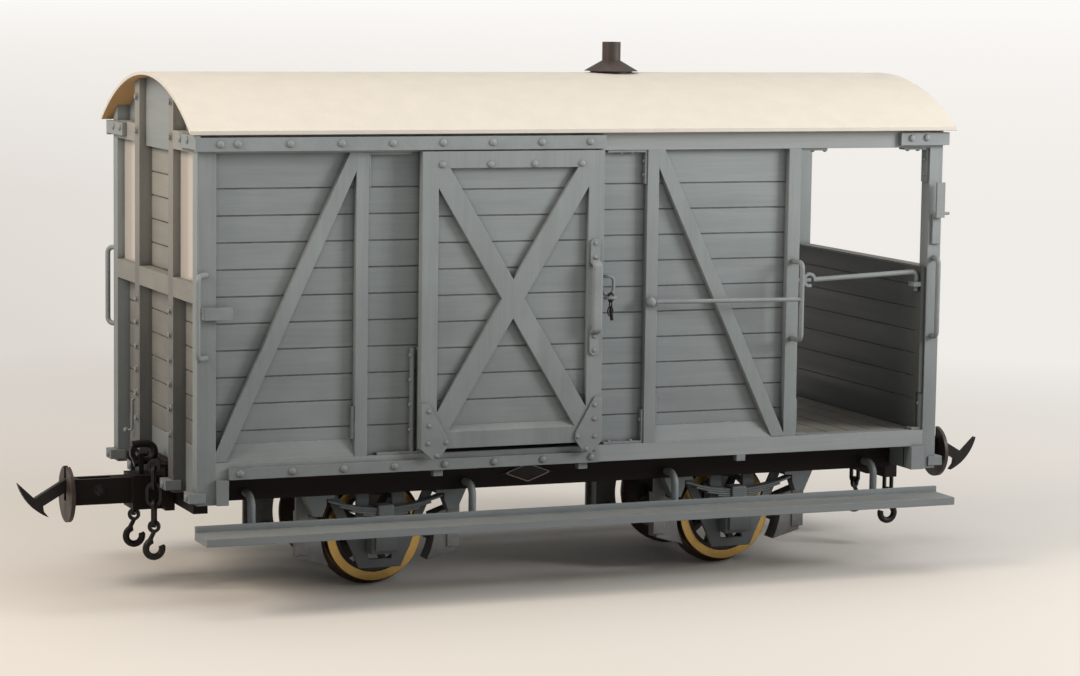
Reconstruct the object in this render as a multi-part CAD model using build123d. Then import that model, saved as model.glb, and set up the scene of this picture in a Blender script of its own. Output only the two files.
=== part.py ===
# Model brake van on four wheels, with an outside timber frame.
# Lengths are in millimetres. X runs along the van, with the verandah at +X.
# Y runs across it, with the near side at -Y. Z is up from the bottoms of the wheel flanges.
import math
import os

from build123d import *

# Body
body_length = 200.0
body_width = 77.5
frame_depth = 4.0
panel_recess = 2.0
board_thickness = 1.6
plank_pitch = 6.45
side_top_plank = 8.5
door_top_plank = 9.35
plank_groove_width = 0.35
plank_groove_depth = 0.35

# Heights above the flange bottoms
foot_bottom = 26.0
sill_bottom = 32.0
sill_top = 36.2
headstock_top = 38.4
waist_bottom = 74.1
waist_top = 78.9
cantrail_bottom = 110.0
top_rail_height = 4.5
fillet_height = 4.2

# Upright timbers of the sides
cabin_corner_width = 4.6
verandah_corner_width = 3.75
side_post_width = 3.1
verandah_post_width = 3.4
bay_post_x = -58.9
latch_post_x = 17.8
verandah_post_x = 57.3
brace_width = 3.4
brace_top_overlap = 0.25
cabin_brace_foot_inset = 1.6
verandah_brace_foot_inset = 2.4
brace_foot_rise = 1.9

# Sliding doors
doorway_centre_x = -20.575
doorway_width = 39.95
door_overlap = 3.95
door_bottom_gap = 1.35
door_top_gap = 0.2
door_stile_width = 4.15
door_rail_width = 4.1
door_brace_width = 5.0
door_board_thickness = 0.8
door_frame_thickness = 1.5
door_clearance = 0.4
door_lip_height = 2.4
door_plate_thickness = 0.5
door_plate_width = 7.1
door_plate_height = 11.35
track_thickness = 1.0
track_height = 3.3
track_run_clearance = 0.35
track_overrun = 0.4
track_end_thickness = 1.2
track_end_rise = 0.4
track_end_inner_y = 25.6
slide_rail_height = 2.7
slide_rail_thickness = 1.2
slide_rail_overrun = 0.65
door_stop_height = 2.8
door_stop_length = 7.0
door_stop_inset = 1.0
door_stop_depth = 2.5
door_stop_z = 72.1
door_stop_gap = 0.3
grab_inset = 2.35
grab_low_z = 62.4
grab_high_z = 85.3
grab_pad_length = 6.2
grab_width = 2.5
grab_thickness = 1.1
grab_standoff = 2.0

# Ends
end_recess = 3.2
gable_recess = 1.7
glass_recess = 1.9
end_plank_count = 6
headstock_back_thickness = 4.3
end_post_y = 15.5
end_post_width = 4.3
gable_bottom = 109.1
window_glass_thickness = 0.8

# Roof and stove pipe
roof_radius = 74.0
roof_crown_z = 128.0
roof_thickness = 0.8
roof_half_width = 41.3
roof_overhang = 2.5
roof_seat_gap = 0.04
stove_x = 22.7
stove_base_radius = 5.5
stove_base_rise = 0.4
stove_cone_radius = 7.05
stove_cone_height = 2.7
stove_pipe_radius = 2.4
stove_pipe_wall = 0.6
stove_pipe_length = 4.8
stove_flue_depth = 3.0

# Floor and partition
floor_thickness = 3.2
partition_doorway_width = 19.0
partition_doorway_top = 100.0
leaf_thickness = 2.0
leaf_clearance = 0.3
leaf_hinge_offset = 0.6
leaf_knuckle_radius = 0.55
leaf_strap_length = 12.0
leaf_strap_height = 2.4

# Underframe
solebar_outer_y = 28.0
solebar_thickness = 4.0
solebar_bottom = 25.1
cross_member_outer_offset = 27.5
cross_member_inner_offset = 29.5
cross_member_width = 3.0
cross_member_bottom = 28.5
end_beam_half_width = 24.5
end_beam_bottom = 21.6
end_beam_back_x = 93.2

# Wheels
wheelbase = 97.0
tread_radius = 12.5
flange_depth = 1.5
flange_width = 1.2
wheel_width = 5.2
back_to_back = 28.6
tyre_thickness = 2.2
wheel_hub_radius = 3.0
wheel_hub_width = 4.6
spoke_count = 8
spoke_width = 1.5
spoke_thickness = 2.0
axle_radius = 1.5
journal_clearance = 0.05

# Axleguards, axleboxes and springs
axleguard_outer_y = 24.0
axleguard_thickness = 1.0
horn_gap = 6.2
horn_width = 3.2
axleguard_low_half_width = 5.4
axleguard_high_half_width = 14.6
axleguard_bottom = 5.6
keep_height = 2.2
axlebox_bottom = 9.7
axlebox_top = 17.8
axlebox_face_y = 29.0
axlebox_width = 7.4
axlebox_fit = 0.1
spring_leaf_count = 4
spring_leaf_thickness = 0.55
spring_leaf_width = 3.2
spring_half_span = 15.2
spring_leaf_step = 3.1
spring_sag = 2.7
spring_top_mid_z = 21.3
spring_buckle_length = 4.2
spring_buckle_wall = 0.5
spring_bracket_width = 8.0
spring_bracket_height = 5.2

# Brakes
brake_clearance = 2.5
brake_block_reach = 20.6
brake_block_rise = 6.0
brake_block_drop = 5.4
brake_block_width = 5.0
brake_block_inner_y = 17.3
brake_block_angles = (165.0, 210.0)
brake_hanger_offset = 20.0
brake_hanger_width = 3.2
brake_hanger_thickness = 1.0
brake_hanger_proud = 0.3
brake_beam_offset = 17.5
brake_beam_drop = 3.5
brake_beam_radius = 0.9
pull_rod_radius = 0.8

# Footboards
footboard_length = 201.0
footboard_inner_y = 38.5
footboard_outer_y = 49.0
footboard_bottom = 17.8
footboard_thickness = 1.9
footboard_lip_height = 1.5
footboard_lip_thickness = 0.9
hanger_end_inset = 15.15
hanger_axle_offset = 20.8
hanger_radius = 0.95
hanger_drop_y = 33.5
hanger_top_z = 27.0
hanger_bend = 3.0
hanger_foot_reach = 42.0
hanger_foot_width = 3.0
hanger_foot_thickness = 1.0

# Couplings
coupling_height = 24.6
coupling_plate_thickness = 2.4
coupling_plate_half_width = 8.0
coupling_plate_top = 32.2
coupling_box_length = 7.3
coupling_box_half_width = 4.5
coupling_box_bottom = 19.9
coupling_box_top = 28.4
drawbar_length = 15.0
drawbar_height = 6.4
drawbar_half_width = 2.6
chopper_thickness = 1.8
chopper_slot_clearance = 0.3
chopper_pin_radius = 0.8
chopper_pin_clearance = 0.05
chopper_boss_radius = 2.2
pin_head_radius = 1.05
pin_head_thickness = 0.5
buffer_radius = 7.0
buffer_thickness = 1.0
buffer_centre_z = 24.0
buffer_pivot_distance = 7.8
slot_floor_drop = 2.2

# Side chains, stored hanging
chain_y = 9.5
chain_distance = 5.7
cabin_chain_eye_z = 31.5
verandah_chain_eye_z = 29.8
chain_wire = 0.8
chain_gap = 0.26
chain_turn = -30.0

# Handbrake column
column_end_inset = 29.0
column_y = 20.5
column_height = 43.8
column_radius = 1.2
column_foot_radius = 3.2
column_foot_thickness = 1.2
hand_wheel_radius = 6.0
hand_wheel_rim = 1.2
hand_wheel_spoke = 0.9

# Lamp irons
lamp_iron_inset = 1.6
lamp_iron_width = 2.4
lamp_plate_bottom = 85.0
lamp_plate_height = 7.6
lamp_plate_thickness = 0.7
lamp_step = 2.6
lamp_blade_height = 8.4
lamp_pin_radius = 0.4
lamp_pin_length = 2.6

# Corner knees and straps
knee_iron = 0.6
strap_thickness = 1.2
strap_height = 3.3
strap_drop = 0.6
strap_end_length = 13.0
strap_side_length = 12.9

# Handrails and gate bars
rail_radius = 0.65
rail_standoff = 4.2
verandah_rail_standoff = 5.2
end_rail_standoff = 2.6
rail_bend = 1.5
grab_rail_low_z = 61.5
grab_rail_high_z = 81.3
long_rail_z = 72.0
long_rail_radius = 0.55
long_rail_ball_radius = 1.3
long_rail_ball_standoff = 1.4
gate_bar_z = 76.2
gate_hook_distance = 3.9
gate_hook_radius = 1.9
gate_hook_hole = 1.1
gate_tip_inset = 1.9
gate_socket_reach = 1.5

# Feet under the posts
post_foot_bottom = 26.7
post_foot_top = 29.1
post_foot_front = 2.0
post_foot_wrap = 0.4

# Blank plates on the solebars, and cleats under the sills
plate_x = -10.8
plate_half_width = 6.9
plate_half_height = 2.6
plate_thickness = 0.4
cleat_xs = (-38.8, -0.2, 43.7)
cleat_width = 2.4
cleat_height = 1.6
cleat_depth = 2.0


# Values worked out from the sizes above
half_length = body_length / 2
half_wheelbase = wheelbase / 2
half_width = body_width / 2
inner_y = half_width - frame_depth
board_face_y = half_width - panel_recess
board_back_y = board_face_y - board_thickness
axle_z = tread_radius + flange_depth
roof_centre_z = roof_crown_z - roof_radius
roof_inner_radius = roof_radius - roof_thickness
end_board_x = half_length - end_recess
headstock_back_x = end_board_x - headstock_back_thickness
doorway_left = doorway_centre_x - doorway_width / 2
doorway_right = doorway_centre_x + doorway_width / 2
door_left = doorway_left - door_overlap
door_right = doorway_right + door_overlap
door_bottom = sill_top + door_bottom_gap
door_top = cantrail_bottom + door_top_gap
door_back_y = half_width + door_clearance
door_board_y = door_back_y + door_board_thickness
door_face_y = door_board_y + door_frame_thickness
track_back_y = door_board_y + track_run_clearance
track_face_y = track_back_y + track_thickness
track_bottom = door_top + track_run_clearance
slide_rail_bottom = sill_bottom + 0.1
door_stop_left = -half_length + door_stop_inset
door_travel = door_left - (door_stop_left + door_stop_length) - door_stop_gap
wheel_face_y = back_to_back / 2 + wheel_width
footboard_top = footboard_bottom + footboard_thickness
floor_bottom = sill_top - floor_thickness
drawbar_start_x = end_board_x + coupling_plate_thickness + coupling_box_length
drawbar_end_x = drawbar_start_x + drawbar_length
chopper_pivot_x = drawbar_end_x - buffer_pivot_distance
chopper_slot_half = chopper_thickness / 2 + chopper_slot_clearance

os.makedirs("parts", exist_ok=True)


# Shared building helpers
def block(xs, ys, zs):
    """A box between pairs of coordinates."""
    (x0, x1), (y0, y1), (z0, z1) = sorted(xs), sorted(ys), sorted(zs)
    centre = ((x0 + x1) / 2, (y0 + y1) / 2, (z0 + z1) / 2)
    return Pos(*centre) * Box(x1 - x0, y1 - y0, z1 - z0)


def side_plate(outline, ys):
    """A plate parallel to the van's side: an outline of (x, z) points between two Y values."""
    low, high = sorted(ys)
    plane = Plane(origin=(0, high, 0), x_dir=(1, 0, 0), z_dir=(0, -1, 0))
    return extrude(plane * Polygon(*outline, align=None), amount=high - low, dir=(0, -1, 0))


def side_face(edges, ys):
    """The same for an outline made of lines and arcs."""
    low, high = sorted(ys)
    plane = Plane(origin=(0, high, 0), x_dir=(1, 0, 0), z_dir=(0, -1, 0))
    return extrude(plane * make_face(edges), amount=high - low, dir=(0, -1, 0))


def end_plate(outline, xs):
    """A plate parallel to the van's end: an outline of (y, z) points between two X values."""
    low, high = sorted(xs)
    plane = Plane(origin=(low, 0, 0), x_dir=(0, 1, 0), z_dir=(1, 0, 0))
    return extrude(plane * Polygon(*outline, align=None), amount=high - low, dir=(1, 0, 0))


def cross_rod(x, z, radius, ys):
    """A round rod that runs across the van."""
    low, high = sorted(ys)
    return Pos(x, (low + high) / 2, z) * Rot(90, 0, 0) * Cylinder(radius, high - low)


def long_rod(y, z, radius, xs):
    """A round rod that runs along the van."""
    low, high = sorted(xs)
    return Pos((low + high) / 2, y, z) * Rot(0, 90, 0) * Cylinder(radius, high - low)


def far_side(shape):
    return mirror(shape, about=Plane.XZ)


def other_end(shape):
    return mirror(shape, about=Plane.YZ)


def both_sides(shapes):
    return list(shapes) + [far_side(shape) for shape in shapes]


def both_ends(shapes):
    return list(shapes) + [other_end(shape) for shape in shapes]


def save(node, shapes):
    """Write the solids of one node."""
    solids = [solid for shape in shapes for solid in shape.solids()]
    export_step(Compound(children=solids) if len(solids) > 1 else solids[0], f"parts/{node}.step")


# Space under the roof sheet, which trims everything that reaches up to it
under_roof = Pos(0, 0, roof_centre_z) * Rot(0, 90, 0) * Cylinder(
    roof_inner_radius - roof_seat_gap, body_length + 2 * roof_overhang)
over_everything = roof_crown_z


# Side timbers, near side at -Y
def side_post(left, right, low, high):
    return block((left, right), (-half_width, -inner_y), (low, high))


side_post_edges = [
    # left, right
    (bay_post_x - side_post_width / 2, bay_post_x + side_post_width / 2),
    (doorway_left - side_post_width, doorway_left),
    (doorway_right, doorway_right + side_post_width),
    (latch_post_x - side_post_width / 2, latch_post_x + side_post_width / 2),
    (verandah_post_x - verandah_post_width / 2, verandah_post_x + verandah_post_width / 2),
]
cabin_corner_x = -half_length + cabin_corner_width
verandah_corner_x = half_length - verandah_corner_width
bay_a = (cabin_corner_x, side_post_edges[0][0])
bay_b = (side_post_edges[0][1], side_post_edges[1][0])
bay_c = (side_post_edges[2][1], side_post_edges[3][0])
bay_d = (side_post_edges[3][1], side_post_edges[4][0])
verandah_opening = (side_post_edges[4][1], verandah_corner_x)

cabin_corner = side_post(-half_length, cabin_corner_x, foot_bottom, over_everything) & under_roof
verandah_corner = side_post(verandah_corner_x, half_length, foot_bottom, over_everything) & under_roof
save("corner_posts", both_sides([cabin_corner, verandah_corner]))

save("side_posts", both_sides(
    [side_post(left, right, sill_top, cantrail_bottom) for left, right in side_post_edges]))

inside_corners = (cabin_corner_x, verandah_corner_x)
sill = block(inside_corners, (-half_width, -inner_y), (sill_bottom, sill_top))
save("sills", both_sides([sill]))

cantrail = block(inside_corners, (-half_width, -inner_y), (cantrail_bottom, over_everything)) & under_roof
save("cantrails", both_sides([cantrail]))


def weather_fillet(bay):
    """A sloping ledge that throws water off the sill."""
    outline = [(-board_face_y, sill_top), (-half_width, sill_top), (-board_face_y, sill_top + fillet_height)]
    return end_plate(outline, bay)


fillets = [weather_fillet(bay) for bay in (bay_a, bay_d)]
save("weather_fillets", both_sides(fillets))


def side_brace(bay, start_x, start_z, end_x, end_z):
    """A diagonal timber, trimmed to its bay and to the fillet below it."""
    run, drop = end_x - start_x, end_z - start_z
    length = math.hypot(run, drop)
    offset_x, offset_z = -drop / length * brace_width / 2, run / length * brace_width / 2
    reach_x, reach_z = run / length * brace_width, drop / length * brace_width
    outline = [
        (start_x - reach_x + offset_x, start_z - reach_z + offset_z),
        (end_x + reach_x + offset_x, end_z + reach_z + offset_z),
        (end_x + reach_x - offset_x, end_z + reach_z - offset_z),
        (start_x - reach_x - offset_x, start_z - reach_z - offset_z),
    ]
    brace = side_plate(outline, (-half_width, -board_face_y))
    brace = brace & block(bay, (-half_width, -board_face_y), (sill_top, cantrail_bottom))
    return brace - weather_fillet(bay)


brace_foot_z = sill_top + brace_foot_rise
braces = [
    side_brace(bay_a, bay_a[1] + brace_top_overlap, cantrail_bottom,
               bay_a[0] + cabin_brace_foot_inset, brace_foot_z),
    side_brace(bay_d, bay_d[0] - brace_top_overlap, cantrail_bottom,
               bay_d[1] - verandah_brace_foot_inset, brace_foot_z),
]
save("side_braces", both_sides(braces))


def plank_lines(low, top_line):
    """Heights of the joints between planks, from the one under the top plank down."""
    count = int((top_line - low - plank_pitch / 3) / plank_pitch) + 1
    return [top_line - index * plank_pitch for index in range(count)]


def side_panel(bay):
    """Planks of one bay as a board with a groove at each joint."""
    panel = block(bay, (-board_face_y, -board_back_y), (sill_top, cantrail_bottom))
    grooves = [
        block(bay, (-board_face_y, -board_face_y + plank_groove_depth),
              (z - plank_groove_width / 2, z + plank_groove_width / 2))
        for z in plank_lines(sill_top, cantrail_bottom - side_top_plank)
    ]
    return panel - grooves


save("side_boards", both_sides([side_panel(bay) for bay in (bay_a, bay_b, bay_c, bay_d)]))


# Headstocks: a beam across each end, with blocks beside the feet of the corner posts
def headstock(corner_width):
    beam = block((-end_board_x, -headstock_back_x), (-inner_y, inner_y), (foot_bottom, headstock_top))
    for sign in (-1, 1):
        beam += block((-half_length + corner_width, -headstock_back_x),
                      (sign * (inner_y - 0.5), sign * half_width), (foot_bottom, sill_bottom))
    return beam


save("headstocks", [headstock(cabin_corner_width), other_end(headstock(verandah_corner_width))])

# End timbers. The left end is closed, the verandah end is open above the waist.
end_post_inner_y = end_post_y - end_post_width / 2
end_post_outer_y = end_post_y + end_post_width / 2
end_back_x = half_length - frame_depth


def end_post(sign, top, x_sign):
    """A post whose foot lies on the headstock's face."""
    ys = (sign * end_post_inner_y, sign * end_post_outer_y)
    post = block((x_sign * half_length, x_sign * end_back_x), ys, (headstock_top, top))
    post += block((x_sign * half_length, x_sign * end_board_x), ys, (foot_bottom, headstock_top))
    return post & under_roof


save("end_posts", [end_post(sign, over_everything, -1) for sign in (-1, 1)]
     + [end_post(sign, waist_top, 1) for sign in (-1, 1)])

end_bays = [(-inner_y, -end_post_outer_y), (-end_post_inner_y, end_post_inner_y), (end_post_outer_y, inner_y)]
outer_bays = [end_bays[0], end_bays[2]]


def end_rail(ys, zs, x_sign):
    return block((x_sign * half_length, x_sign * end_back_x), ys, zs)


waist = (waist_bottom, waist_top)
top_rail = (cantrail_bottom, cantrail_bottom + top_rail_height)
save("end_rails", [end_rail(ys, waist, x_sign) for x_sign in (-1, 1) for ys in end_bays]
     + [end_rail(ys, top_rail, -1) for ys in outer_bays]
     + [end_rail((-inner_y, inner_y), top_rail, 1)])


def end_panel(ys, low, high, x_sign):
    """Planks of one bay of an end."""
    faces = (x_sign * end_board_x, x_sign * (end_board_x - board_thickness))
    panel = block(faces, ys, (low, high)) & under_roof
    pitch = (waist_bottom - headstock_top) / end_plank_count
    joints = [low + index * pitch for index in range(int((high - low) / pitch + 0.8))]
    groove_xs = (x_sign * end_board_x, x_sign * (end_board_x - plank_groove_depth))
    grooves = [block(groove_xs, ys, (z - plank_groove_width / 2, z + plank_groove_width / 2)) for z in joints]
    return panel - grooves


end_boards = [end_panel(ys, headstock_top, waist_bottom, x_sign) for x_sign in (-1, 1) for ys in end_bays]
end_boards.append(end_panel(end_bays[1], waist_top, gable_bottom, -1))
save("end_boards", end_boards)


def gable_board(ys, x_sign):
    """The recessed board between a top rail and the roof."""
    faces = (x_sign * end_board_x, x_sign * (end_board_x - board_thickness))
    return block(faces, ys, (top_rail[1], over_everything)) & under_roof


gable_xs = (-half_length + gable_recess, -end_back_x)
gable_plate = block(gable_xs, end_bays[1], (gable_bottom, over_everything)) & under_roof
save("gables", [gable_plate] + [gable_board(ys, -1) for ys in outer_bays]
     + [gable_board((-inner_y, inner_y), 1)])

glass_xs = (-half_length + glass_recess, -half_length + glass_recess + window_glass_thickness)
save("end_windows", [block(glass_xs, ys, (waist_top, cantrail_bottom)) for ys in outer_bays])

# Roof sheet and stove pipe
roof_solid = Pos(0, 0, roof_centre_z) * Rot(0, 90, 0) * Cylinder(roof_radius, body_length + 2 * roof_overhang)
roof_hollow = Pos(0, 0, roof_centre_z) * Rot(0, 90, 0) * Cylinder(
    roof_inner_radius, body_length + 4 * roof_overhang)
roof_span = block((-body_length, body_length), (-roof_half_width, roof_half_width),
                  (cantrail_bottom, roof_crown_z + roof_thickness))
save("roof", [(roof_solid - roof_hollow) & roof_span])

cone_base_z = roof_crown_z + stove_base_rise
cone_top_z = cone_base_z + stove_cone_height
stove_pipe_top = cone_top_z + stove_pipe_length
stove_foot_z = roof_crown_z - stove_base_radius ** 2 / roof_radius
cone = Pos(stove_x, 0, (cone_base_z + cone_top_z) / 2) * Cone(
    stove_cone_radius, stove_pipe_radius, cone_top_z - cone_base_z)
stove_base = Pos(stove_x, 0, (stove_foot_z + cone_base_z) / 2) * Cylinder(
    stove_base_radius, cone_base_z - stove_foot_z)
pipe = Pos(stove_x, 0, (cone_base_z + stove_pipe_top) / 2) * Cylinder(
    stove_pipe_radius, stove_pipe_top - cone_base_z)
flue = Pos(stove_x, 0, stove_pipe_top) * Cylinder(stove_pipe_radius - stove_pipe_wall, 2 * stove_flue_depth)
roof_surface = Pos(0, 0, roof_centre_z) * Rot(0, 90, 0) * Cylinder(roof_radius + roof_seat_gap, body_length)
save("chimney", [cone + stove_base + pipe - flue - roof_surface])

# Floor, with joints across it
floor_slab = block((-headstock_back_x, headstock_back_x), (-inner_y, inner_y), (floor_bottom, sill_top))
floor_joints = [
    block((x - plank_groove_width / 2, x + plank_groove_width / 2), (-inner_y, inner_y),
          (sill_top - plank_groove_depth, sill_top))
    for x in [verandah_post_x + plank_pitch * (index + 1)
              for index in range(int((headstock_back_x - verandah_post_x) / plank_pitch))]
]
save("floor", [floor_slab - floor_joints])

# Partition between cabin and verandah, with a hinged door
partition_xs = side_post_edges[4]
half_doorway = partition_doorway_width / 2
save("partition_panels", [
    block(partition_xs, (sign * half_doorway, sign * inner_y), (sill_top, partition_doorway_top))
    for sign in (-1, 1)])
save("partition_head", [
    block(partition_xs, (-inner_y, inner_y), (partition_doorway_top, over_everything)) & under_roof])

leaf_face_x = partition_xs[1]
leaf_ys = (-half_doorway + leaf_clearance, half_doorway - leaf_clearance)
leaf_zs = (sill_top + leaf_clearance, partition_doorway_top - leaf_clearance)
hinge_x = leaf_face_x + leaf_hinge_offset
hinge_y = -half_doorway + leaf_clearance / 2
leaf = block((leaf_face_x - leaf_thickness, leaf_face_x), leaf_ys, leaf_zs)
for height in (0.2, 0.8):
    strap_z = leaf_zs[0] + height * (leaf_zs[1] - leaf_zs[0])
    strap_zs = (strap_z - leaf_strap_height / 2, strap_z + leaf_strap_height / 2)
    leaf += block((leaf_face_x, hinge_x), (hinge_y, hinge_y + leaf_strap_length), strap_zs)
    leaf += Pos(hinge_x, hinge_y, strap_z) * Cylinder(leaf_knuckle_radius, leaf_strap_height)
leaf_knob = long_rod(leaf_ys[1] - 2.5, (leaf_zs[0] + leaf_zs[1]) / 2, 1.1,
                     (leaf_face_x - leaf_thickness - 1.4, leaf_face_x + 1.4))
save("partition_door", [leaf + leaf_knob])


# Door track above, slide rail below, and the stop that ends the door's travel
def door_track():
    """A strip with a cap behind it, bent round the cabin's corner."""
    left, right = -half_length - track_end_thickness, door_right + track_overrun
    top = track_bottom + track_height
    strip = block((left, right), (-track_face_y, -track_back_y), (track_bottom, top))
    cap = block((-half_length, right), (-track_back_y, -half_width),
                (door_top + door_lip_height + track_run_clearance, top))
    bent_end = block((left, -half_length), (-track_face_y, -track_end_inner_y),
                     (track_bottom + track_end_rise, top + track_end_rise))
    return strip + cap + bent_end


save("door_tracks", both_sides([door_track()]))

slide_rail_left = door_left - door_travel - slide_rail_overrun
slide_rail = block((slide_rail_left, door_right), (-half_width - slide_rail_thickness, -half_width),
                   (slide_rail_bottom, slide_rail_bottom + slide_rail_height))
save("door_rails", both_sides([slide_rail]))

door_stop = block((door_stop_left, door_stop_left + door_stop_length),
                  (-half_width - door_stop_depth, -half_width),
                  (door_stop_z - door_stop_height / 2, door_stop_z + door_stop_height / 2))
save("door_stops", both_sides([door_stop]))


# Sliding door, near side
def door_frame():
    ys = (-door_face_y, -door_board_y)
    outer = block((door_left, door_right), ys, (door_bottom, door_top))
    inner_xs = (door_left + door_stile_width, door_right - door_stile_width)
    inner_zs = (door_bottom + door_rail_width, door_top - door_rail_width)
    frame = outer - block(inner_xs, ys, inner_zs)
    slope = [(-door_board_y, inner_zs[0] + door_frame_thickness), (-door_board_y, inner_zs[0]),
             (-door_face_y, inner_zs[0])]
    frame += end_plate(slope, inner_xs)
    for start_x, end_x in (inner_xs, inner_xs[::-1]):
        run, rise = end_x - start_x, inner_zs[1] - inner_zs[0]
        shift = door_brace_width / 2 * math.hypot(run, rise) / abs(rise)
        band = side_plate([(start_x - shift, inner_zs[0]), (start_x + shift, inner_zs[0]),
                           (end_x + shift, inner_zs[1]), (end_x - shift, inner_zs[1])], ys)
        frame += band & block((door_left, door_right), ys, (door_bottom, door_top))
    return frame


def door_boards():
    zs = (door_bottom, door_top + door_lip_height)
    boards = block((door_left, door_right), (-door_board_y, -door_back_y), zs)
    opening = (door_left + door_stile_width, door_right - door_stile_width)
    grooves = [
        block(opening, (-door_board_y, -door_board_y + plank_groove_depth),
              (z - plank_groove_width / 2, z + plank_groove_width / 2))
        for z in plank_lines(door_bottom + door_rail_width, door_top - door_top_plank)
    ]
    return boards - grooves


def grab_handle():
    """Two round-ended pads with a raised grip between them."""
    x, face = door_right - grab_inset, -door_face_y
    pads = []
    for z in (grab_low_z, grab_high_z):
        plane = Plane(origin=(x, face, z), x_dir=(1, 0, 0), z_dir=(0, -1, 0))
        pads.append(extrude(plane * SlotOverall(grab_pad_length, grab_width, rotation=90),
                            amount=door_plate_thickness))
    foot, top = grab_low_z + grab_pad_length / 2 - 0.6, grab_high_z - grab_pad_length / 2 + 0.6
    plane = Plane(origin=(x, face, 0), x_dir=(0, -1, 0), z_dir=(1, 0, 0))
    path = plane * FilletPolyline(
        (0, -foot), (grab_standoff, -foot - 0.8), (grab_standoff, -top + 0.8), (0, -top), radius=0.8)
    section = Plane(origin=path @ 0, x_dir=(1, 0, 0), z_dir=path % 0) * RectangleRounded(
        grab_width, grab_thickness, grab_thickness / 2 - 0.05)
    behind_face = block((x - grab_width, x + grab_width), (face, face + 2), (foot - 5, top + 5))
    grip = sweep(section, path=path) - behind_face
    return grip + pads[0] + pads[1]


def door_irons():
    """Tapered guide plates above the slide rail, and a grab handle."""
    ys = (-door_face_y - door_plate_thickness, -door_face_y)
    plate = [(0, door_plate_height), (1.9, door_plate_height), (door_plate_width - 0.1, 2.45),
             (door_plate_width, 0.75), (5.0, -2.05), (2.9, -2.55), (0, 0.15)]
    left_plate = side_plate([(door_left + x, door_bottom + z) for x, z in plate], ys)
    right_plate = side_plate([(door_right - x, door_bottom + z) for x, z in plate], ys)
    return [left_plate, right_plate, grab_handle()]


save("near_door_frame", [door_frame()])
save("near_door_boards", [door_boards()])
save("near_door_irons", door_irons())
save("far_door_frame", [far_side(door_frame())])
save("far_door_boards", [far_side(door_boards())])
save("far_door_irons", [far_side(piece) for piece in door_irons()])


# Corner knees: angle irons in the corners of the side frames
knee_ys = (-half_width + 0.3, -board_face_y - 0.1)
verandah_knee_ys = (-half_width + 0.6, -inner_y - 0.6)


def knee(corner_x, corner_z, x_dir, z_dir, flat_leg, upright_leg, ys):
    iron = block((corner_x, corner_x + x_dir * knee_iron), ys, (corner_z, corner_z + z_dir * upright_leg))
    if flat_leg:
        iron += block((corner_x, corner_x + x_dir * flat_leg), ys, (corner_z, corner_z + z_dir * knee_iron))
    return iron


fillet_top = sill_top + fillet_height
knees = [knee(*row) for row in [
    # corner x, corner z, x_dir, z_dir, flat leg, upright leg, ys
    (bay_b[0], cantrail_bottom, 1, -1, 11.0, 8.5, knee_ys),
    (bay_b[1], sill_top, -1, 1, 11.0, 26.0, knee_ys),
    (bay_c[1], cantrail_bottom, -1, -1, 10.8, 8.5, knee_ys),
    (bay_c[1], sill_top, -1, 1, 10.8, 8.5, knee_ys),
    (bay_a[1], fillet_top, -1, 1, 0, 8.0, knee_ys),
    (bay_d[0], fillet_top, 1, 1, 0, 8.0, knee_ys),
    (verandah_opening[0], cantrail_bottom, 1, -1, 7.7, 8.0, verandah_knee_ys),
    (verandah_opening[1], cantrail_bottom, -1, -1, 7.3, 9.0, verandah_knee_ys),
    (verandah_opening[0], sill_top, 1, 1, 3.0, 9.5, verandah_knee_ys),
    (verandah_opening[1], sill_top, -1, 1, 3.0, 9.5, verandah_knee_ys),
]]
save("corner_knees", both_sides(knees))

# Corner straps wrap the joint of cantrail and top rail at the verandah's end
strap_zs = (top_rail[1] - strap_drop - strap_height, top_rail[1] - strap_drop)
end_strap = block((half_length, half_length + strap_thickness),
                  (-half_width, -half_width + strap_end_length), strap_zs)
side_strap = block((half_length - strap_side_length, half_length + strap_thickness),
                   (-half_width - strap_thickness, -half_width), strap_zs)
save("corner_straps", both_sides([end_strap + side_strap]))

# Underframe
solebar = block((-headstock_back_x, headstock_back_x),
                (-solebar_outer_y, -solebar_outer_y + solebar_thickness), (solebar_bottom, floor_bottom))
save("solebars", both_sides([solebar]))
solebar_inner_y = solebar_outer_y - solebar_thickness
end_beam = block((-end_board_x, -end_beam_back_x), (-end_beam_half_width, end_beam_half_width),
                 (end_beam_bottom, foot_bottom))
save("cross_members", both_ends([end_beam]) + [
    block((x - cross_member_width / 2, x + cross_member_width / 2), (-solebar_inner_y, solebar_inner_y),
          (cross_member_bottom, floor_bottom))
    for distance in (half_wheelbase + cross_member_outer_offset, half_wheelbase - cross_member_inner_offset)
    for x in (-distance, distance)])

wheel_xs = (-half_wheelbase, half_wheelbase)


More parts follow.
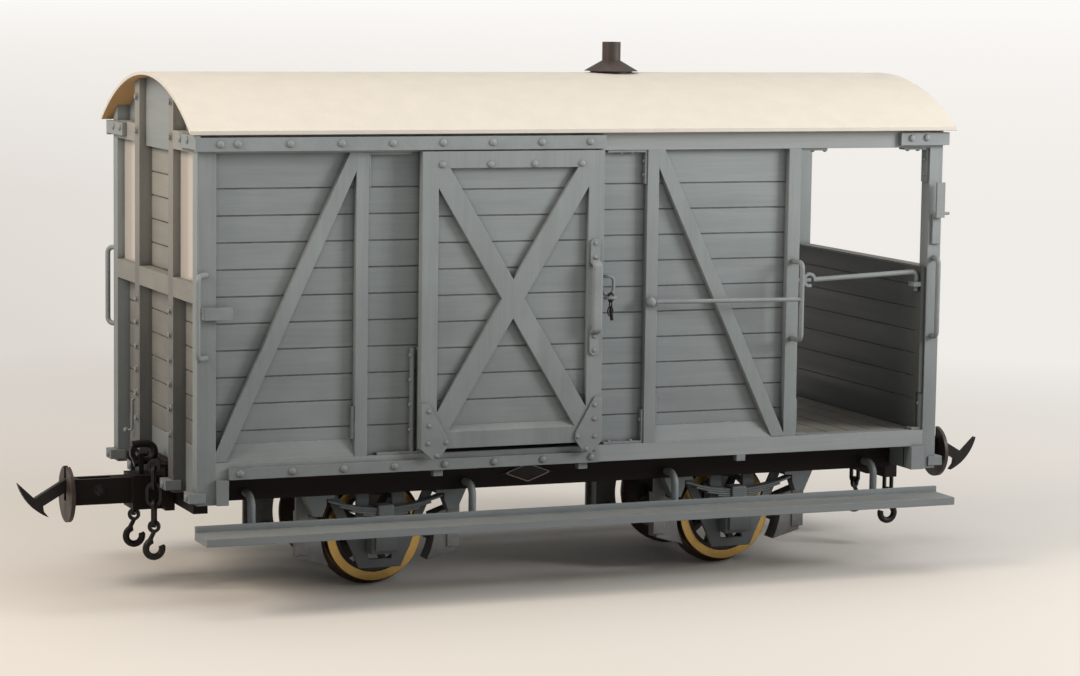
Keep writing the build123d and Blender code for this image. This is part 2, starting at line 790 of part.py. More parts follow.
# Axleguard: two upright horns and two slanting stays round the axlebox, with the keep below
def axleguard(x):
    ys = (-axleguard_outer_y, -axleguard_outer_y + axleguard_thickness)
    shoulder = solebar_bottom + 0.9
    low, high = axleguard_low_half_width, axleguard_high_half_width
    outline = [(x - low, axleguard_bottom), (x + low, axleguard_bottom), (x + high, shoulder),
               (x + high, floor_bottom - 1.0), (x - high, floor_bottom - 1.0), (x - high, shoulder)]
    guard = side_plate(outline, ys)
    guard -= block((x - horn_gap / 2, x + horn_gap / 2), ys,
                   (axleguard_bottom + keep_height, solebar_bottom - 0.6))
    horn_edge = horn_gap / 2 + horn_width
    slope = (high - low) / (shoulder - axleguard_bottom)
    window_top = solebar_bottom - 0.6
    stay_width = 2.6
    top_reach = low + slope * (window_top - axleguard_bottom) - stay_width
    window_foot = axleguard_bottom + (horn_edge + stay_width - low) / slope
    for sign in (-1, 1):
        window = [(x + sign * horn_edge, window_foot), (x + sign * horn_edge, window_top),
                  (x + sign * top_reach, window_top)]
        guard -= side_plate(window, ys)
    return guard


save("axleguards", both_sides([axleguard(x) for x in wheel_xs]))


# Axlebox: a block in the horn gap with a face outside it and a blind bore for the journal
def axlebox(x):
    gap = horn_gap / 2 - axlebox_fit
    guard_front, guard_back = -axleguard_outer_y - axlebox_fit, -axleguard_outer_y + axleguard_thickness
    body = block((x - gap, x + gap), (guard_front, guard_back + 1.4), (axlebox_bottom, axlebox_top))
    face = block((x - axlebox_width / 2, x + axlebox_width / 2), (-axlebox_face_y + 0.8, guard_front),
                 (axlebox_bottom, axlebox_top))
    cover = block((x - axlebox_width / 2 + 0.9, x + axlebox_width / 2 - 0.9),
                  (-axlebox_face_y, -axlebox_face_y + 0.8), (axlebox_bottom + 0.9, axlebox_top - 1.3))
    bore = cross_rod(x, axle_z, axle_radius + journal_clearance, (-axlebox_face_y + 1.6, guard_back + 1.5))
    return body + face + cover - bore


save("axleboxes", both_sides([axlebox(x) for x in wheel_xs]))


# Leaf spring: leaves that shorten downwards, held in a buckle on the axlebox
spring_y = -(axleguard_outer_y + 2.4)
spring_curve_radius = (spring_half_span ** 2 + spring_sag ** 2) / (2 * spring_sag)


def leaf_spring(x):
    ys = (spring_y - spring_leaf_width / 2, spring_y + spring_leaf_width / 2)
    centre_z = spring_top_mid_z + spring_curve_radius
    stack = None
    for index in range(spring_leaf_count):
        inner = spring_curve_radius + index * spring_leaf_thickness
        reach = spring_half_span - index * spring_leaf_step
        ring = cross_rod(x, centre_z, inner + spring_leaf_thickness, ys) - cross_rod(x, centre_z, inner, ys)
        leaf_piece = ring & block((x - reach, x + reach), ys, (axlebox_top - 1.0, solebar_bottom))
        stack = leaf_piece if stack is None else stack + leaf_piece
    buckle = block((x - spring_buckle_length / 2, x + spring_buckle_length / 2),
                   (ys[0] - spring_buckle_wall, ys[1] + spring_buckle_wall),
                   (axlebox_top, spring_top_mid_z + 0.7))
    return stack + buckle


save("leaf_springs", both_sides([leaf_spring(x) for x in wheel_xs]))


# Spring bracket: a tapered shoe under the solebar that caps the end of the top leaf
def spring_bracket(x, sign):
    ys = (spring_y - spring_leaf_width / 2, spring_y + spring_leaf_width / 2)
    start = spring_half_span - 1.9
    tip_top = spring_top_mid_z + spring_curve_radius - math.sqrt(
        spring_curve_radius ** 2 - spring_half_span ** 2) + 0.25
    outline = [(start, solebar_bottom), (start + spring_bracket_width, solebar_bottom),
               (start + 5.6, solebar_bottom - spring_bracket_height),
               (start + 3.2, solebar_bottom - spring_bracket_height),
               (spring_half_span + 0.25, tip_top - 1.6), (spring_half_span + 0.25, tip_top),
               (start, tip_top)]
    return side_plate([(x + sign * px, pz) for px, pz in outline], ys)


save("spring_brackets", both_sides([spring_bracket(x, sign) for x in wheel_xs for sign in (-1, 1)]))


# Wheels: a bright tyre with its flange, round a spoked centre on the axle
def tyre_profile(sign):
    """Half section of one tyre as (radius, y) points."""
    inner = sign * back_to_back / 2
    bore = tread_radius - tyre_thickness
    points = [(bore, 0), (axle_z, 0), (axle_z, flange_width), (tread_radius, flange_width + 0.6),
              (tread_radius, wheel_width), (bore, wheel_width)]
    return [(radius, inner + sign * y) for radius, y in points]


def turned(outline, x):
    """A ring turned about the axle's centre line, from (radius, y) points."""
    plane = Plane(origin=(x, 0, axle_z), x_dir=(1, 0, 0), z_dir=(0, 0, 1))
    return revolve(plane * Polygon(*outline, align=None), axis=Axis((x, 0, axle_z), (0, 1, 0)),
                   revolution_arc=360)


def tyres(x):
    return [turned(tyre_profile(sign), x) for sign in (-1, 1)]


def wheel_centre(x, sign):
    """Hub, tapered spokes and rim."""
    mid_y = sign * (back_to_back / 2 + wheel_width / 2)
    hub_ys = (mid_y - wheel_hub_width / 2, mid_y + wheel_hub_width / 2)
    rim_outer = tread_radius - tyre_thickness
    rim_ys = (mid_y - wheel_width / 2 + 0.5, mid_y + wheel_width / 2 - 0.5)
    rim = cross_rod(x, axle_z, rim_outer, rim_ys) - cross_rod(x, axle_z, rim_outer - 1.1, rim_ys)
    centre = rim + cross_rod(x, axle_z, wheel_hub_radius, hub_ys)
    spoke_ys = (mid_y - spoke_thickness / 2, mid_y + spoke_thickness / 2)
    spoke = side_plate([(-spoke_width / 2 - 0.25, wheel_hub_radius - 0.6), (spoke_width / 2 + 0.25,
                        wheel_hub_radius - 0.6), (spoke_width / 2 - 0.15, rim_outer - 0.6),
                        (-spoke_width / 2 + 0.15, rim_outer - 0.6)], spoke_ys)
    for index in range(spoke_count):
        turn = Rot(0, (index + 0.5) * 360 / spoke_count, 0)
        centre += Pos(x, 0, axle_z) * turn * spoke
    return centre


def wheelset(x):
    journal_end = axlebox_face_y - 1.6 - 0.3
    axle = cross_rod(x, axle_z, axle_radius, (-journal_end, journal_end))
    return axle + wheel_centre(x, -1) + wheel_centre(x, 1)


for name, x in zip(("left", "right"), wheel_xs):
    save(f"{name}_wheelset", [wheelset(x)])
    save(f"{name}_tyres", tyres(x))


# Brakes: blocks beside the treads, hung from the floor, with beams across and a pull rod
block_inner = tread_radius + brake_clearance
brake_face_y = brake_block_inner_y + brake_block_width


def brake_block(x, sign):
    """A block with a curved inner face, and the strap that it hangs from."""
    first, last = [math.radians(angle) for angle in brake_block_angles]

    def at(angle):
        return (x + sign * block_inner * math.cos(angle), axle_z + block_inner * math.sin(angle))

    low_corner = (x - sign * brake_block_reach, axle_z - brake_block_drop)
    high_corner = (x - sign * brake_block_reach, axle_z + brake_block_rise)
    edges = [
        ThreePointArc(at(first), at((first + last) / 2), at(last)),
        Line(at(last), low_corner),
        Line(low_corner, high_corner),
        Line(high_corner, at(first)),
    ]
    shoe = side_face(edges, (-brake_face_y, -brake_block_inner_y))
    hang_x = x - sign * brake_hanger_offset
    strap_face = -brake_face_y - brake_hanger_proud
    hanger = block((hang_x - brake_hanger_width / 2, hang_x + brake_hanger_width / 2),
                   (strap_face, strap_face + brake_hanger_thickness),
                   (axle_z - brake_block_drop + 1.0, floor_bottom))
    return shoe + hanger


save("brake_blocks", both_sides([brake_block(x, sign) for x in wheel_xs for sign in (1, -1)]))

beam_z = axle_z - brake_beam_drop
beams = [
    cross_rod(x + sign * brake_beam_offset, beam_z, brake_beam_radius,
              (-brake_block_inner_y, brake_block_inner_y))
    for x in wheel_xs for sign in (-1, 1)]
inner_beam_x = half_wheelbase - brake_beam_offset
pull_rod = long_rod(0, beam_z, pull_rod_radius, (-inner_beam_x, inner_beam_x)) - beams
save("brake_beams", beams + [pull_rod])

# Footboards and their hangers
footboard = block((-footboard_length / 2, footboard_length / 2), (-footboard_outer_y, -footboard_inner_y),
                  (footboard_bottom, footboard_top))
footboard += block((-footboard_length / 2, footboard_length / 2),
                   (-footboard_inner_y - footboard_lip_thickness, -footboard_inner_y),
                   (footboard_bottom, footboard_top + footboard_lip_height))
save("footboards", both_sides([footboard]))


def footboard_hanger(x):
    """A rod bent over from the solebar and down, with a flat foot under the footboard."""
    foot_bottom_z = footboard_bottom - hanger_foot_thickness
    plane = Plane(origin=(x, 0, 0), x_dir=(0, 1, 0), z_dir=(1, 0, 0))
    path = plane * FilletPolyline(
        (-solebar_outer_y, hanger_top_z), (-hanger_drop_y, hanger_top_z),
        (-hanger_drop_y, foot_bottom_z + 0.1), radius=hanger_bend)
    rod = sweep(Plane(path @ 0, z_dir=path % 0) * Circle(hanger_radius), path=path)
    half_foot = hanger_foot_width / 2
    foot = block((x - half_foot, x + half_foot), (-hanger_foot_reach, -hanger_drop_y + half_foot),
                 (foot_bottom_z, footboard_bottom))
    return rod + foot


hanger_xs = (half_length - hanger_end_inset, half_wheelbase - hanger_axle_offset)
save("footboard_hangers", both_sides(both_ends([footboard_hanger(x) for x in hanger_xs])))


# Couplings, left end
plate_xs = (-end_board_x - coupling_plate_thickness, -end_board_x)
coupling_plate = block(plate_xs, (-coupling_plate_half_width, coupling_plate_half_width),
                       (coupling_box_bottom, coupling_plate_top))
save("coupling_plates", both_ends([coupling_plate]))


def drawbar():
    """A box with a slotted tube, which carries the buffer disc and the hook's pin."""
    body = block((-drawbar_start_x, plate_xs[0]), (-coupling_box_half_width, coupling_box_half_width),
                 (coupling_box_bottom, coupling_box_top))
    tube_zs = (coupling_height - drawbar_height / 2, coupling_height + drawbar_height / 2)
    body += block((-drawbar_end_x, -drawbar_start_x), (-drawbar_half_width, drawbar_half_width), tube_zs)
    slot_left, slot_right = -drawbar_end_x - 1, -chopper_pivot_x + chopper_boss_radius + 0.6
    body -= block((slot_left, slot_right), (-chopper_slot_half, chopper_slot_half),
                  (coupling_height - chopper_boss_radius - 0.3, tube_zs[1] + 1))
    body += cross_rod(-chopper_pivot_x, coupling_height, chopper_pin_radius,
                      (-drawbar_half_width - 0.1, drawbar_half_width + 0.1))
    for sign in (-1, 1):
        body += cross_rod(-chopper_pivot_x, coupling_height, pin_head_radius,
                          (sign * drawbar_half_width, sign * (drawbar_half_width + pin_head_thickness)))
    return body


save("drawbars", both_ends([drawbar()]))


def buffer_disc():
    """A round face with a slot, open at the top, for the hook."""
    xs = (-drawbar_end_x - buffer_thickness, -drawbar_end_x)
    disc = long_rod(0, buffer_centre_z, buffer_radius, xs)
    slot_zs = (coupling_height - slot_floor_drop, coupling_height + buffer_radius)
    return disc - block(xs, (-chopper_slot_half, chopper_slot_half), slot_zs)


save("buffer_discs", both_ends([buffer_disc()]))


def chopper():
    """The hook: a boss on the pin, a neck, and a crescent blade with two points."""
    px, pz = chopper_pivot_x, coupling_height
    nose = px + 20.8
    edges = [
        Line((-px, pz + chopper_boss_radius), (-px - 8.4, pz + 3.5)),
        Line((-px - 8.4, pz + 3.5), (-px - 16.6, pz - 1.3)),
        Line((-px - 16.6, pz - 1.3), (-nose, pz + 2.7)),
        ThreePointArc((-nose, pz + 2.7), (-px - 18.0, pz - 2.6), (-px - 13.1, pz - 6.1)),
        Line((-px - 13.1, pz - 6.1), (-px - 14.3, pz - 4.6)),
        Line((-px - 14.3, pz - 4.6), (-px - 14.5, pz - 3.2)),
        Line((-px - 14.5, pz - 3.2), (-px - 8.0, pz + 0.5)),
        Line((-px - 8.0, pz + 0.5), (-px, pz - chopper_boss_radius)),
        Line((-px, pz - chopper_boss_radius), (-px, pz + chopper_boss_radius)),
    ]
    ys = (-chopper_thickness / 2, chopper_thickness / 2)
    hook = side_face(edges, ys) + cross_rod(-px, pz, chopper_boss_radius, ys)
    return hook - cross_rod(-px, pz, chopper_pin_radius + chopper_pin_clearance, ys)


save("left_chopper", [chopper()])
save("right_chopper", [other_end(chopper())])


def ring_link(centre, length, width, turn):
    """A flat oval link, on edge. At no turn it faces across the van."""
    outline = SlotOverall(length, width, rotation=90) - SlotOverall(
        length - 2 * chain_wire, width - 2 * chain_wire, rotation=90)
    angle = math.radians(turn)
    plane = Plane(origin=centre, x_dir=(math.cos(angle), math.sin(angle), 0),
                  z_dir=(math.sin(angle), -math.cos(angle), 0))
    return extrude(plane * outline, amount=chain_wire / 2, both=True)


# Side chains: an eye on the headstock, links turned a quarter each, and a hook that hangs
def side_chain(y, eye_z):
    x = -end_board_x - chain_distance
    wire = chain_wire
    eye_length, hook_eye_length = 3.5, 3.2
    eye = ring_link((x, y, eye_z), eye_length, 3.4, chain_turn)
    eye += long_rod(y, eye_z, 0.6, (x + 1.15, -end_board_x))
    pieces = [eye]
    top = eye_z - eye_length / 2 + 2 * wire + chain_gap
    for length, width, turn in [
            # length, width, turn
            (6.0, 3.0, chain_turn + 90), (6.2, 4.2, chain_turn), (7.0, 3.0, chain_turn + 90)]:
        pieces.append(ring_link((x, y, top - length / 2), length, width, turn))
        top = top - length + 2 * wire + chain_gap
    hook = ring_link((x, y, top - hook_eye_length / 2), hook_eye_length, 3.1, chain_turn)
    ys = (y - wire / 2, y + wire / 2)
    arc_z = top - hook_eye_length - 3.9
    arc = cross_rod(x, arc_z, 2.7, ys) - cross_rod(x, arc_z, 1.5, ys)
    mouth = side_plate([(x, arc_z), (x + 4, arc_z + 1.4), (x + 4, arc_z + 4), (x - 0.6, arc_z + 4)], ys)
    shank = side_plate([(x - 0.5, top - hook_eye_length + 0.3), (x + 0.5, top - hook_eye_length + 0.3),
                        (x - 1.0, arc_z + 1.2), (x - 2.5, arc_z + 0.6)], ys)
    pieces.append(hook + (arc - mouth) + shank)
    return pieces


cabin_chains = side_chain(-chain_y, cabin_chain_eye_z) + side_chain(chain_y, cabin_chain_eye_z)
verandah_chains = side_chain(-chain_y, verandah_chain_eye_z) + side_chain(chain_y, verandah_chain_eye_z)
save("side_chains", cabin_chains + [other_end(piece) for piece in verandah_chains])


# Shackle: a lug on the drawbar's box and an oval link stood up in it
def shackle():
    lug_x = (plate_xs[0] - drawbar_start_x) / 2 - 0.8
    hole_z = coupling_box_top + 3.2
    lug = block((lug_x - 0.6, lug_x + 0.6), (-1.9, 1.9), (coupling_box_top, hole_z + 1.9))
    lug -= long_rod(0, hole_z, 1.1, (lug_x - 1, lug_x + 1))
    outline = SlotOverall(6.8, 5.4) - SlotOverall(6.8 - 2.6, 5.4 - 2.6)
    link_z = hole_z - 0.65 + 2.7
    plane = Plane(origin=(lug_x + 0.9, 0, link_z), x_dir=(1, 0, 0), z_dir=(0, -1, 0))
    return [lug, extrude(plane * outline, amount=0.65, both=True)]


save("shackles", both_ends(shackle()))


# Handrails: bent rods whose ends are let into the posts
def bent_rod(plane, points, radius):
    path = plane * FilletPolyline(*points, radius=rail_bend)
    return sweep(Plane(path @ 0, z_dir=path % 0) * Circle(radius), path=path)


def upright_rail(x, y, out_x, out_y, low, high, reach):
    """A D-shaped rail that stands off along (out_x, out_y)."""
    length = math.hypot(out_x, out_y)
    out = (out_x / length, out_y / length, 0)
    plane = Plane(origin=(x, y, 0), x_dir=out, z_dir=(out[1], -out[0], 0))
    return bent_rod(plane, [(0, low), (reach, low), (reach, high), (0, high)], rail_radius)


def long_rail():
    """The rail along the cabin's side, from a ball on the latch post out to the verandah's rail."""
    start = Vector(latch_post_x - 0.7, -half_width - long_rail_ball_standoff, long_rail_z)
    end = Vector(verandah_post_x, -half_width - verandah_rail_standoff, long_rail_z)
    path = Line(start, end)
    rod = sweep(Plane(path @ 0, z_dir=path % 0) * Circle(long_rail_radius), path=path)
    rod += cross_rod(start.X, long_rail_z, rail_radius, (start.Y, -half_width))
    return rod + Pos(*start) * Sphere(long_rail_ball_radius)


verandah_corner_mid_x = half_length - verandah_corner_width / 2
rails = [
    upright_rail(verandah_post_x, -half_width, 0, -1, grab_rail_low_z, grab_rail_high_z,
                 verandah_rail_standoff) + long_rail(),
    upright_rail(verandah_corner_mid_x, -half_width, 0, -1, grab_rail_low_z - 0.6, grab_rail_high_z,
                 end_rail_standoff),
    upright_rail(-half_length + 2.2, -half_width, -1, -1, grab_rail_low_z, grab_rail_high_z, rail_standoff),
]
save("handrails", both_sides([rail - cabin_corner - verandah_corner for rail in rails]))


# Gate bar: a rod that drops across the verandah's side opening
def gate_bar():
    """A rod with an open hook round a fixed eye, and a bent tip that rests in a socket."""
    y = -half_width + frame_depth / 2
    left, right = verandah_opening
    hook_x, tip_x = left + gate_hook_distance, right - gate_tip_inset
    plane = Plane(origin=(0, y, 0), x_dir=(1, 0, 0), z_dir=(0, -1, 0))
    rod = bent_rod(plane, [(hook_x + gate_hook_radius - 0.6, gate_bar_z), (tip_x, gate_bar_z + 1.4),
                           (tip_x, gate_bar_z - 3.6)], rail_radius)
    hook = cross_rod(hook_x, gate_bar_z, gate_hook_radius, (y - 0.6, y + 0.6))
    hook -= cross_rod(hook_x, gate_bar_z, gate_hook_hole, (y - 0.6, y + 0.6))
    hook -= side_plate([(hook_x, gate_bar_z), (hook_x + 3, gate_bar_z - 0.7), (hook_x + 3, gate_bar_z - 3),
                        (hook_x + 1.2, gate_bar_z - 3)], (y - 1, y + 1))
    stem = block((left, hook_x + 0.5), (y - 0.4, y + 0.4), (gate_bar_z - 0.45, gate_bar_z + 0.45))
    socket_z = gate_bar_z - 1.8
    socket = block((tip_x - gate_socket_reach, right), (y - gate_socket_reach, y + gate_socket_reach),
                   (socket_z - 0.6, socket_z + 0.6))
    socket -= Pos(tip_x, y, socket_z) * Cylinder(rail_radius + 0.15, 3)
    return [rod + hook + stem, socket]


save("gate_bars", both_sides(gate_bar()))


# Lamp iron on the verandah's corner post: a plate, a step out, and an upright blade
def lamp_iron():
    x = half_length - lamp_iron_inset
    xs = (x - lamp_iron_width / 2, x + lamp_iron_width / 2)
    plate_top = lamp_plate_bottom + lamp_plate_height
    step_bottom = plate_top - lamp_plate_thickness
    front = -half_width - lamp_step
    plate = block(xs, (-half_width - lamp_plate_thickness, -half_width), (lamp_plate_bottom, plate_top))
    step = block(xs, (front, -half_width), (step_bottom, plate_top))
    blade = block(xs, (front, front + lamp_plate_thickness), (step_bottom, plate_top + lamp_blade_height))
    pin = long_rod(front + lamp_plate_thickness / 2, plate_top + lamp_pin_radius, lamp_pin_radius,
                   (x, x + lamp_pin_length))
    return plate + step + blade + pin


save("lamp_irons", both_sides([lamp_iron()]))

# Handbrake column on the verandah
column_x = half_length - column_end_inset
column = Pos(column_x, column_y, sill_top + column_height / 2) * Cylinder(column_radius, column_height)
column += Pos(column_x, column_y, sill_top + column_foot_thickness / 2) * Cylinder(
    column_foot_radius, column_foot_thickness)
wheel_place = Pos(column_x, column_y, sill_top + column_height - hand_wheel_rim)
hand_wheel = wheel_place * Torus(hand_wheel_radius - hand_wheel_rim / 2, hand_wheel_rim / 2)
for angle in (0, 60, 120):
    hand_wheel += wheel_place * Rot(0, 0, angle) * Box(
        2 * hand_wheel_radius - hand_wheel_rim, hand_wheel_spoke, hand_wheel_spoke)
save("brake_column", [column + hand_wheel])

# Cleats under the sills, and blank plates on the solebars
save("sill_cleats", both_sides([
    block((x - cleat_width / 2, x + cleat_width / 2), (-half_width, -half_width + cleat_depth),
          (sill_bottom - cleat_height, sill_bottom))
    for x in cleat_xs]))

plate_z = (solebar_bottom + floor_bottom) / 2 - 0.6
save("blank_plates", both_sides([side_plate(
    [(plate_x - plate_half_width, plate_z), (plate_x, plate_z - plate_half_height),
     (plate_x + plate_half_width, plate_z), (plate_x, plate_z + plate_half_height)],
    (-solebar_outer_y - plate_thickness, -solebar_outer_y))]))


# Feet under the posts: straps bent round three sides
def post_foot(ys):
    low, high = sorted(ys)
    zs = (post_foot_bottom, post_foot_top)
    strap = block((-half_length - post_foot_front, -half_length + post_foot_front),
                  (low - post_foot_wrap, high + post_foot_wrap), zs)
    return strap - block((-half_length, 0), (low, high), zs)


foot_ys = [(sign * inner_y, sign * half_width) for sign in (-1, 1)]
foot_ys += [(sign * end_post_inner_y, sign * end_post_outer_y) for sign in (-1, 1)]
save("post_feet", both_ends([post_foot(ys) for ys in foot_ys]))
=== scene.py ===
# %% [markdown]
# A model brake van, dressed for a photograph.
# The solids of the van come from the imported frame: timber frames, planks, doors, wheels and couplings.
# This file gives them paint, iron, brass and wood, adds what is too small for the solids,
# such as bolt heads and the latch chain, and sets up the camera and the light.
# It reads from top to bottom like a notebook: words first, then a short piece of code.

# %% Load the frame
import math

import bmesh
import bpy
from mathutils import Matrix, Vector


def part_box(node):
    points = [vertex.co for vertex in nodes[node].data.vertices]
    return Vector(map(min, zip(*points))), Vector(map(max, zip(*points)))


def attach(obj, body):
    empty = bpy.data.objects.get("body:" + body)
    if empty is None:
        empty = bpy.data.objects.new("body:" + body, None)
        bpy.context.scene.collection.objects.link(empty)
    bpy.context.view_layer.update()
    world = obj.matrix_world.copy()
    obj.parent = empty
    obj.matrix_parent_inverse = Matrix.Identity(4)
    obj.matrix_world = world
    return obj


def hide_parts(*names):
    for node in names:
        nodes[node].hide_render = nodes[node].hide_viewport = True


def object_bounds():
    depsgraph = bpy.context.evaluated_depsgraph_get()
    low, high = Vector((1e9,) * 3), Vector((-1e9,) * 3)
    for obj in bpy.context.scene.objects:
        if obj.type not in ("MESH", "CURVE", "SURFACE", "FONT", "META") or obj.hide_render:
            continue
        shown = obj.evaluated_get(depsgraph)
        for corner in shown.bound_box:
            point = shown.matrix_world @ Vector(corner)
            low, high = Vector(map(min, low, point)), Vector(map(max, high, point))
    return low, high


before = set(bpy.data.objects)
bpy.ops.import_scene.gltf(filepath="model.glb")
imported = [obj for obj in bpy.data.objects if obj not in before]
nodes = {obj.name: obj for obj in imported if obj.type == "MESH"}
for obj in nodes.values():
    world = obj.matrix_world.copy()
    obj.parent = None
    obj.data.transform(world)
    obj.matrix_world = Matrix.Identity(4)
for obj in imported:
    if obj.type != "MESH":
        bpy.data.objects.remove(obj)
cad_low, cad_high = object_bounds()
MM = 0.001
scene = bpy.context.scene
scene.view_settings.view_transform = "Standard"

# %% [markdown]
# The camera. The photograph was taken from a little above the roof's edge, from the left of the van's middle,
# with a long lens. A camera is a place, three turns and a focal length. The turns say how far it swings to
# the right, tips down and leans.

# %% Camera
CAMERA_PLACE = Vector((-306.47, -752.25, 152.05)) * MM
SWING_RIGHT = 0.3911
TIP_DOWN = 0.1140
LEAN = 0.0138
FOCAL_PIXELS = 3140.3
PHOTO_WIDTH = 1080
SENSOR_WIDTH = 36.0
NEAREST_SEEN, FARTHEST_SEEN = 0.01, 600


def camera_turn(swing, tip, lean):
    """The camera's right, up and back directions as the columns of a matrix."""
    forward = Vector((math.sin(swing) * math.cos(tip), math.cos(swing) * math.cos(tip), -math.sin(tip)))
    level_right = Vector((math.cos(swing), -math.sin(swing), 0))
    level_up = level_right.cross(forward)
    right = math.cos(lean) * level_right + math.sin(lean) * level_up
    up = math.cos(lean) * level_up - math.sin(lean) * level_right
    return Matrix((right, up, -forward)).transposed()


def add_object(name, data):
    """Put a mesh, a curve, a lamp or a camera into the scene as a new object."""
    thing = bpy.data.objects.new(name, data)
    scene.collection.objects.link(thing)
    return thing


camera_data = bpy.data.cameras.new("photo_camera")
camera_data.sensor_width = SENSOR_WIDTH
camera_data.lens = FOCAL_PIXELS / PHOTO_WIDTH * SENSOR_WIDTH
camera_data.clip_start = NEAREST_SEEN
camera_data.clip_end = FARTHEST_SEEN
camera = add_object("photo_camera", camera_data)
camera.matrix_world = Matrix.Translation(CAMERA_PLACE) @ camera_turn(SWING_RIGHT, TIP_DOWN, LEAN).to_4x4()
scene.camera = camera
print("lens in mm:", round(camera_data.lens, 1))

# %% [markdown]
# Colours. They are written as they look on a screen, from 0 to 255, because that is how a painter picks them.
# A shader wants linear light, so a small function turns one into the other.

# %% Colours


def screen(red, green, blue):
    """A colour given as on a screen, as the linear colour that a shader wants."""
    linear = [((v / 255 + 0.055) / 1.055) ** 2.4 if v > 10 else v / 255 / 12.92 for v in (red, green, blue)]
    return (*linear, 1.0)


VAN_GREY = screen(150, 158, 160)
VAN_GREY_WORN = screen(172, 178, 177)
# The dark colour for grime in the grain, for the darkening towards the bottom and for painted shade in
# crevices.
VAN_GRIME_AND_SHADE = screen(66, 70, 74)
ROOF_CREAM = screen(227, 222, 212)
BARE_PLY = screen(232, 184, 126)
UNDERFRAME_BROWN = screen(27, 20, 18)
RUNNING_GREY = screen(112, 119, 122)
SHOE_GREY = screen(134, 136, 136)
BLACK_IRON = screen(31, 28, 29)
BRASS = screen(190, 158, 96)
DUST = screen(176, 170, 158)
print("van grey in linear light:", [round(v, 3) for v in VAN_GREY[:3]])

# %% [markdown]
# Node groups. Paint on old timber is never one flat colour: corners are rubbed pale and dust settles on what
# faces up, and the grooves take painted shade. Each of these effects is a node group, made once and used
# by every material with its own values. Two classes keep the code that wires nodes short: one for any
# tree, and one for a tree that is a group.

# %% A helper for any tree


class Tree:
    """A node tree, with short calls that add and join nodes. A node given as a value is its first output."""

    def __init__(self, tree):
        self.tree = tree

    def node(self, kind, settings=None, **sockets):
        """Add a node, set its properties and fill its inputs."""
        made = self.tree.nodes.new(kind)
        for key, value in (settings or {}).items():
            setattr(made, key, value)
        return self.fill(made, **sockets)

    def fill(self, made, **sockets):
        """Join inputs or set their values, each by its name or by its number, written as _0, _1."""
        for key, value in sockets.items():
            socket = made.inputs[int(key[1:]) if key[1:].isdigit() else key.replace("_", " ")]
            if isinstance(value, bpy.types.Node):
                value = value.outputs[0]
            if isinstance(value, bpy.types.NodeSocket):
                self.tree.links.new(value, socket)
            else:
                socket.default_value = value
        return made

    def maths(self, operation, first, second=0.0, clamp=False):
        return self.node("ShaderNodeMath", {"operation": operation, "use_clamp": clamp}, _0=first, _1=second)

    def ramp(self, value, low, high, start=0.0, end=1.0):
        """Stretch the values between low and high to run from start to end, and hold them there."""
        return self.node("ShaderNodeMapRange", {"clamp": True}, Value=value, From_Min=low, From_Max=high,
                         To_Min=start, To_Max=end)

    def mix(self, share, first, second):
        """One colour where the share is 0, the other where it is 1."""
        return self.node("ShaderNodeMix", {"data_type": "RGBA"}, _0=share, _6=first, _7=second).outputs[2]

    def noise(self, vector, scale, detail=4.0, roughness=0.55):
        return self.node("ShaderNodeTexNoise", None, Vector=vector, Scale=scale, Detail=detail,
                         Roughness=roughness).outputs["Fac"]

    def split(self, vector):
        return self.node("ShaderNodeSeparateXYZ", None, Vector=vector).outputs

    def place(self):
        """The point's own place on the van."""
        return self.node("ShaderNodeTexCoord").outputs["Object"]

    def facing(self):
        """The direction that the face looks in."""
        return self.node("ShaderNodeNewGeometry").outputs["Normal"]

    def use(self, group, **values):
        """Put a finished group into this tree with its own values."""
        return self.node("ShaderNodeGroup", {"node_tree": group}, **values).outputs


print("helper: Tree")

# %% A helper for groups


class Group(Tree):
    """A tree that is a group. Each socket has a name, the kind of thing it carries and its first value."""

    def __init__(self, name, inputs, outputs, kind="ShaderNodeTree"):
        super().__init__(bpy.data.node_groups.new(name, kind))
        new_socket = self.tree.interface.new_socket
        for label, carries, *first in inputs:
            socket = new_socket(label, in_out="INPUT", socket_type="NodeSocket" + carries)
            if first:
                socket.default_value = first[0]
        for label, carries in outputs:
            new_socket(label, in_out="OUTPUT", socket_type="NodeSocket" + carries)
        self.source = self.node("NodeGroupInput")
        self.sink = self.node("NodeGroupOutput")

    def __getitem__(self, label):
        return self.source.outputs[label]

    def put(self, **outputs):
        """Send the results out, and hand over the finished tree."""
        self.fill(self.sink, **outputs)
        print(self.tree.name, "has", len(self.tree.nodes), "nodes")
        return self.tree


print("helper: Group")

# %% [markdown]
# Rubbed edges. The Bevel node says which way a rounded edge would face. Where that differs from the true
# face, there is an edge, and a noise breaks it into chips. The same rounded direction also makes every
# sharp edge of the solids catch a thin line of light, as filed and painted wood does.

# %% Edges group
EDGE_BEGINS, EDGE_FULL = 0.02, 0.16


def build_edges():
    group = Group("rounded_edges", [("Radius", "Float", 0.25 * MM), ("Chips", "Float", 900.0)],
                  [("Edge", "Float"), ("Rounded", "Vector")])
    bevel = group.node("ShaderNodeBevel", {"samples": 4}, Radius=group["Radius"])
    dot = group.node("ShaderNodeVectorMath", {"operation": "DOT_PRODUCT"}, _0=bevel, _1=group.facing())
    turned = group.ramp(group.maths("SUBTRACT", 1.0, dot.outputs["Value"]), EDGE_BEGINS, EDGE_FULL)
    chips = group.ramp(group.noise(group.place(), group["Chips"], detail=3.0), 0.42, 0.62)
    return group.put(Edge=group.maths("MULTIPLY", turned, chips, True), Rounded=bevel)


EDGES = build_edges()

# %% [markdown]
# Crevice shade. The Ambient Occlusion node is dark where surfaces close in on each other: in the plank
# joints, under the rails and round the bolts. Mixed with a noise, it becomes painted shade in these crevices.

# %% Crevice shade group
SHUT_IN, OPEN = 0.35, 0.95


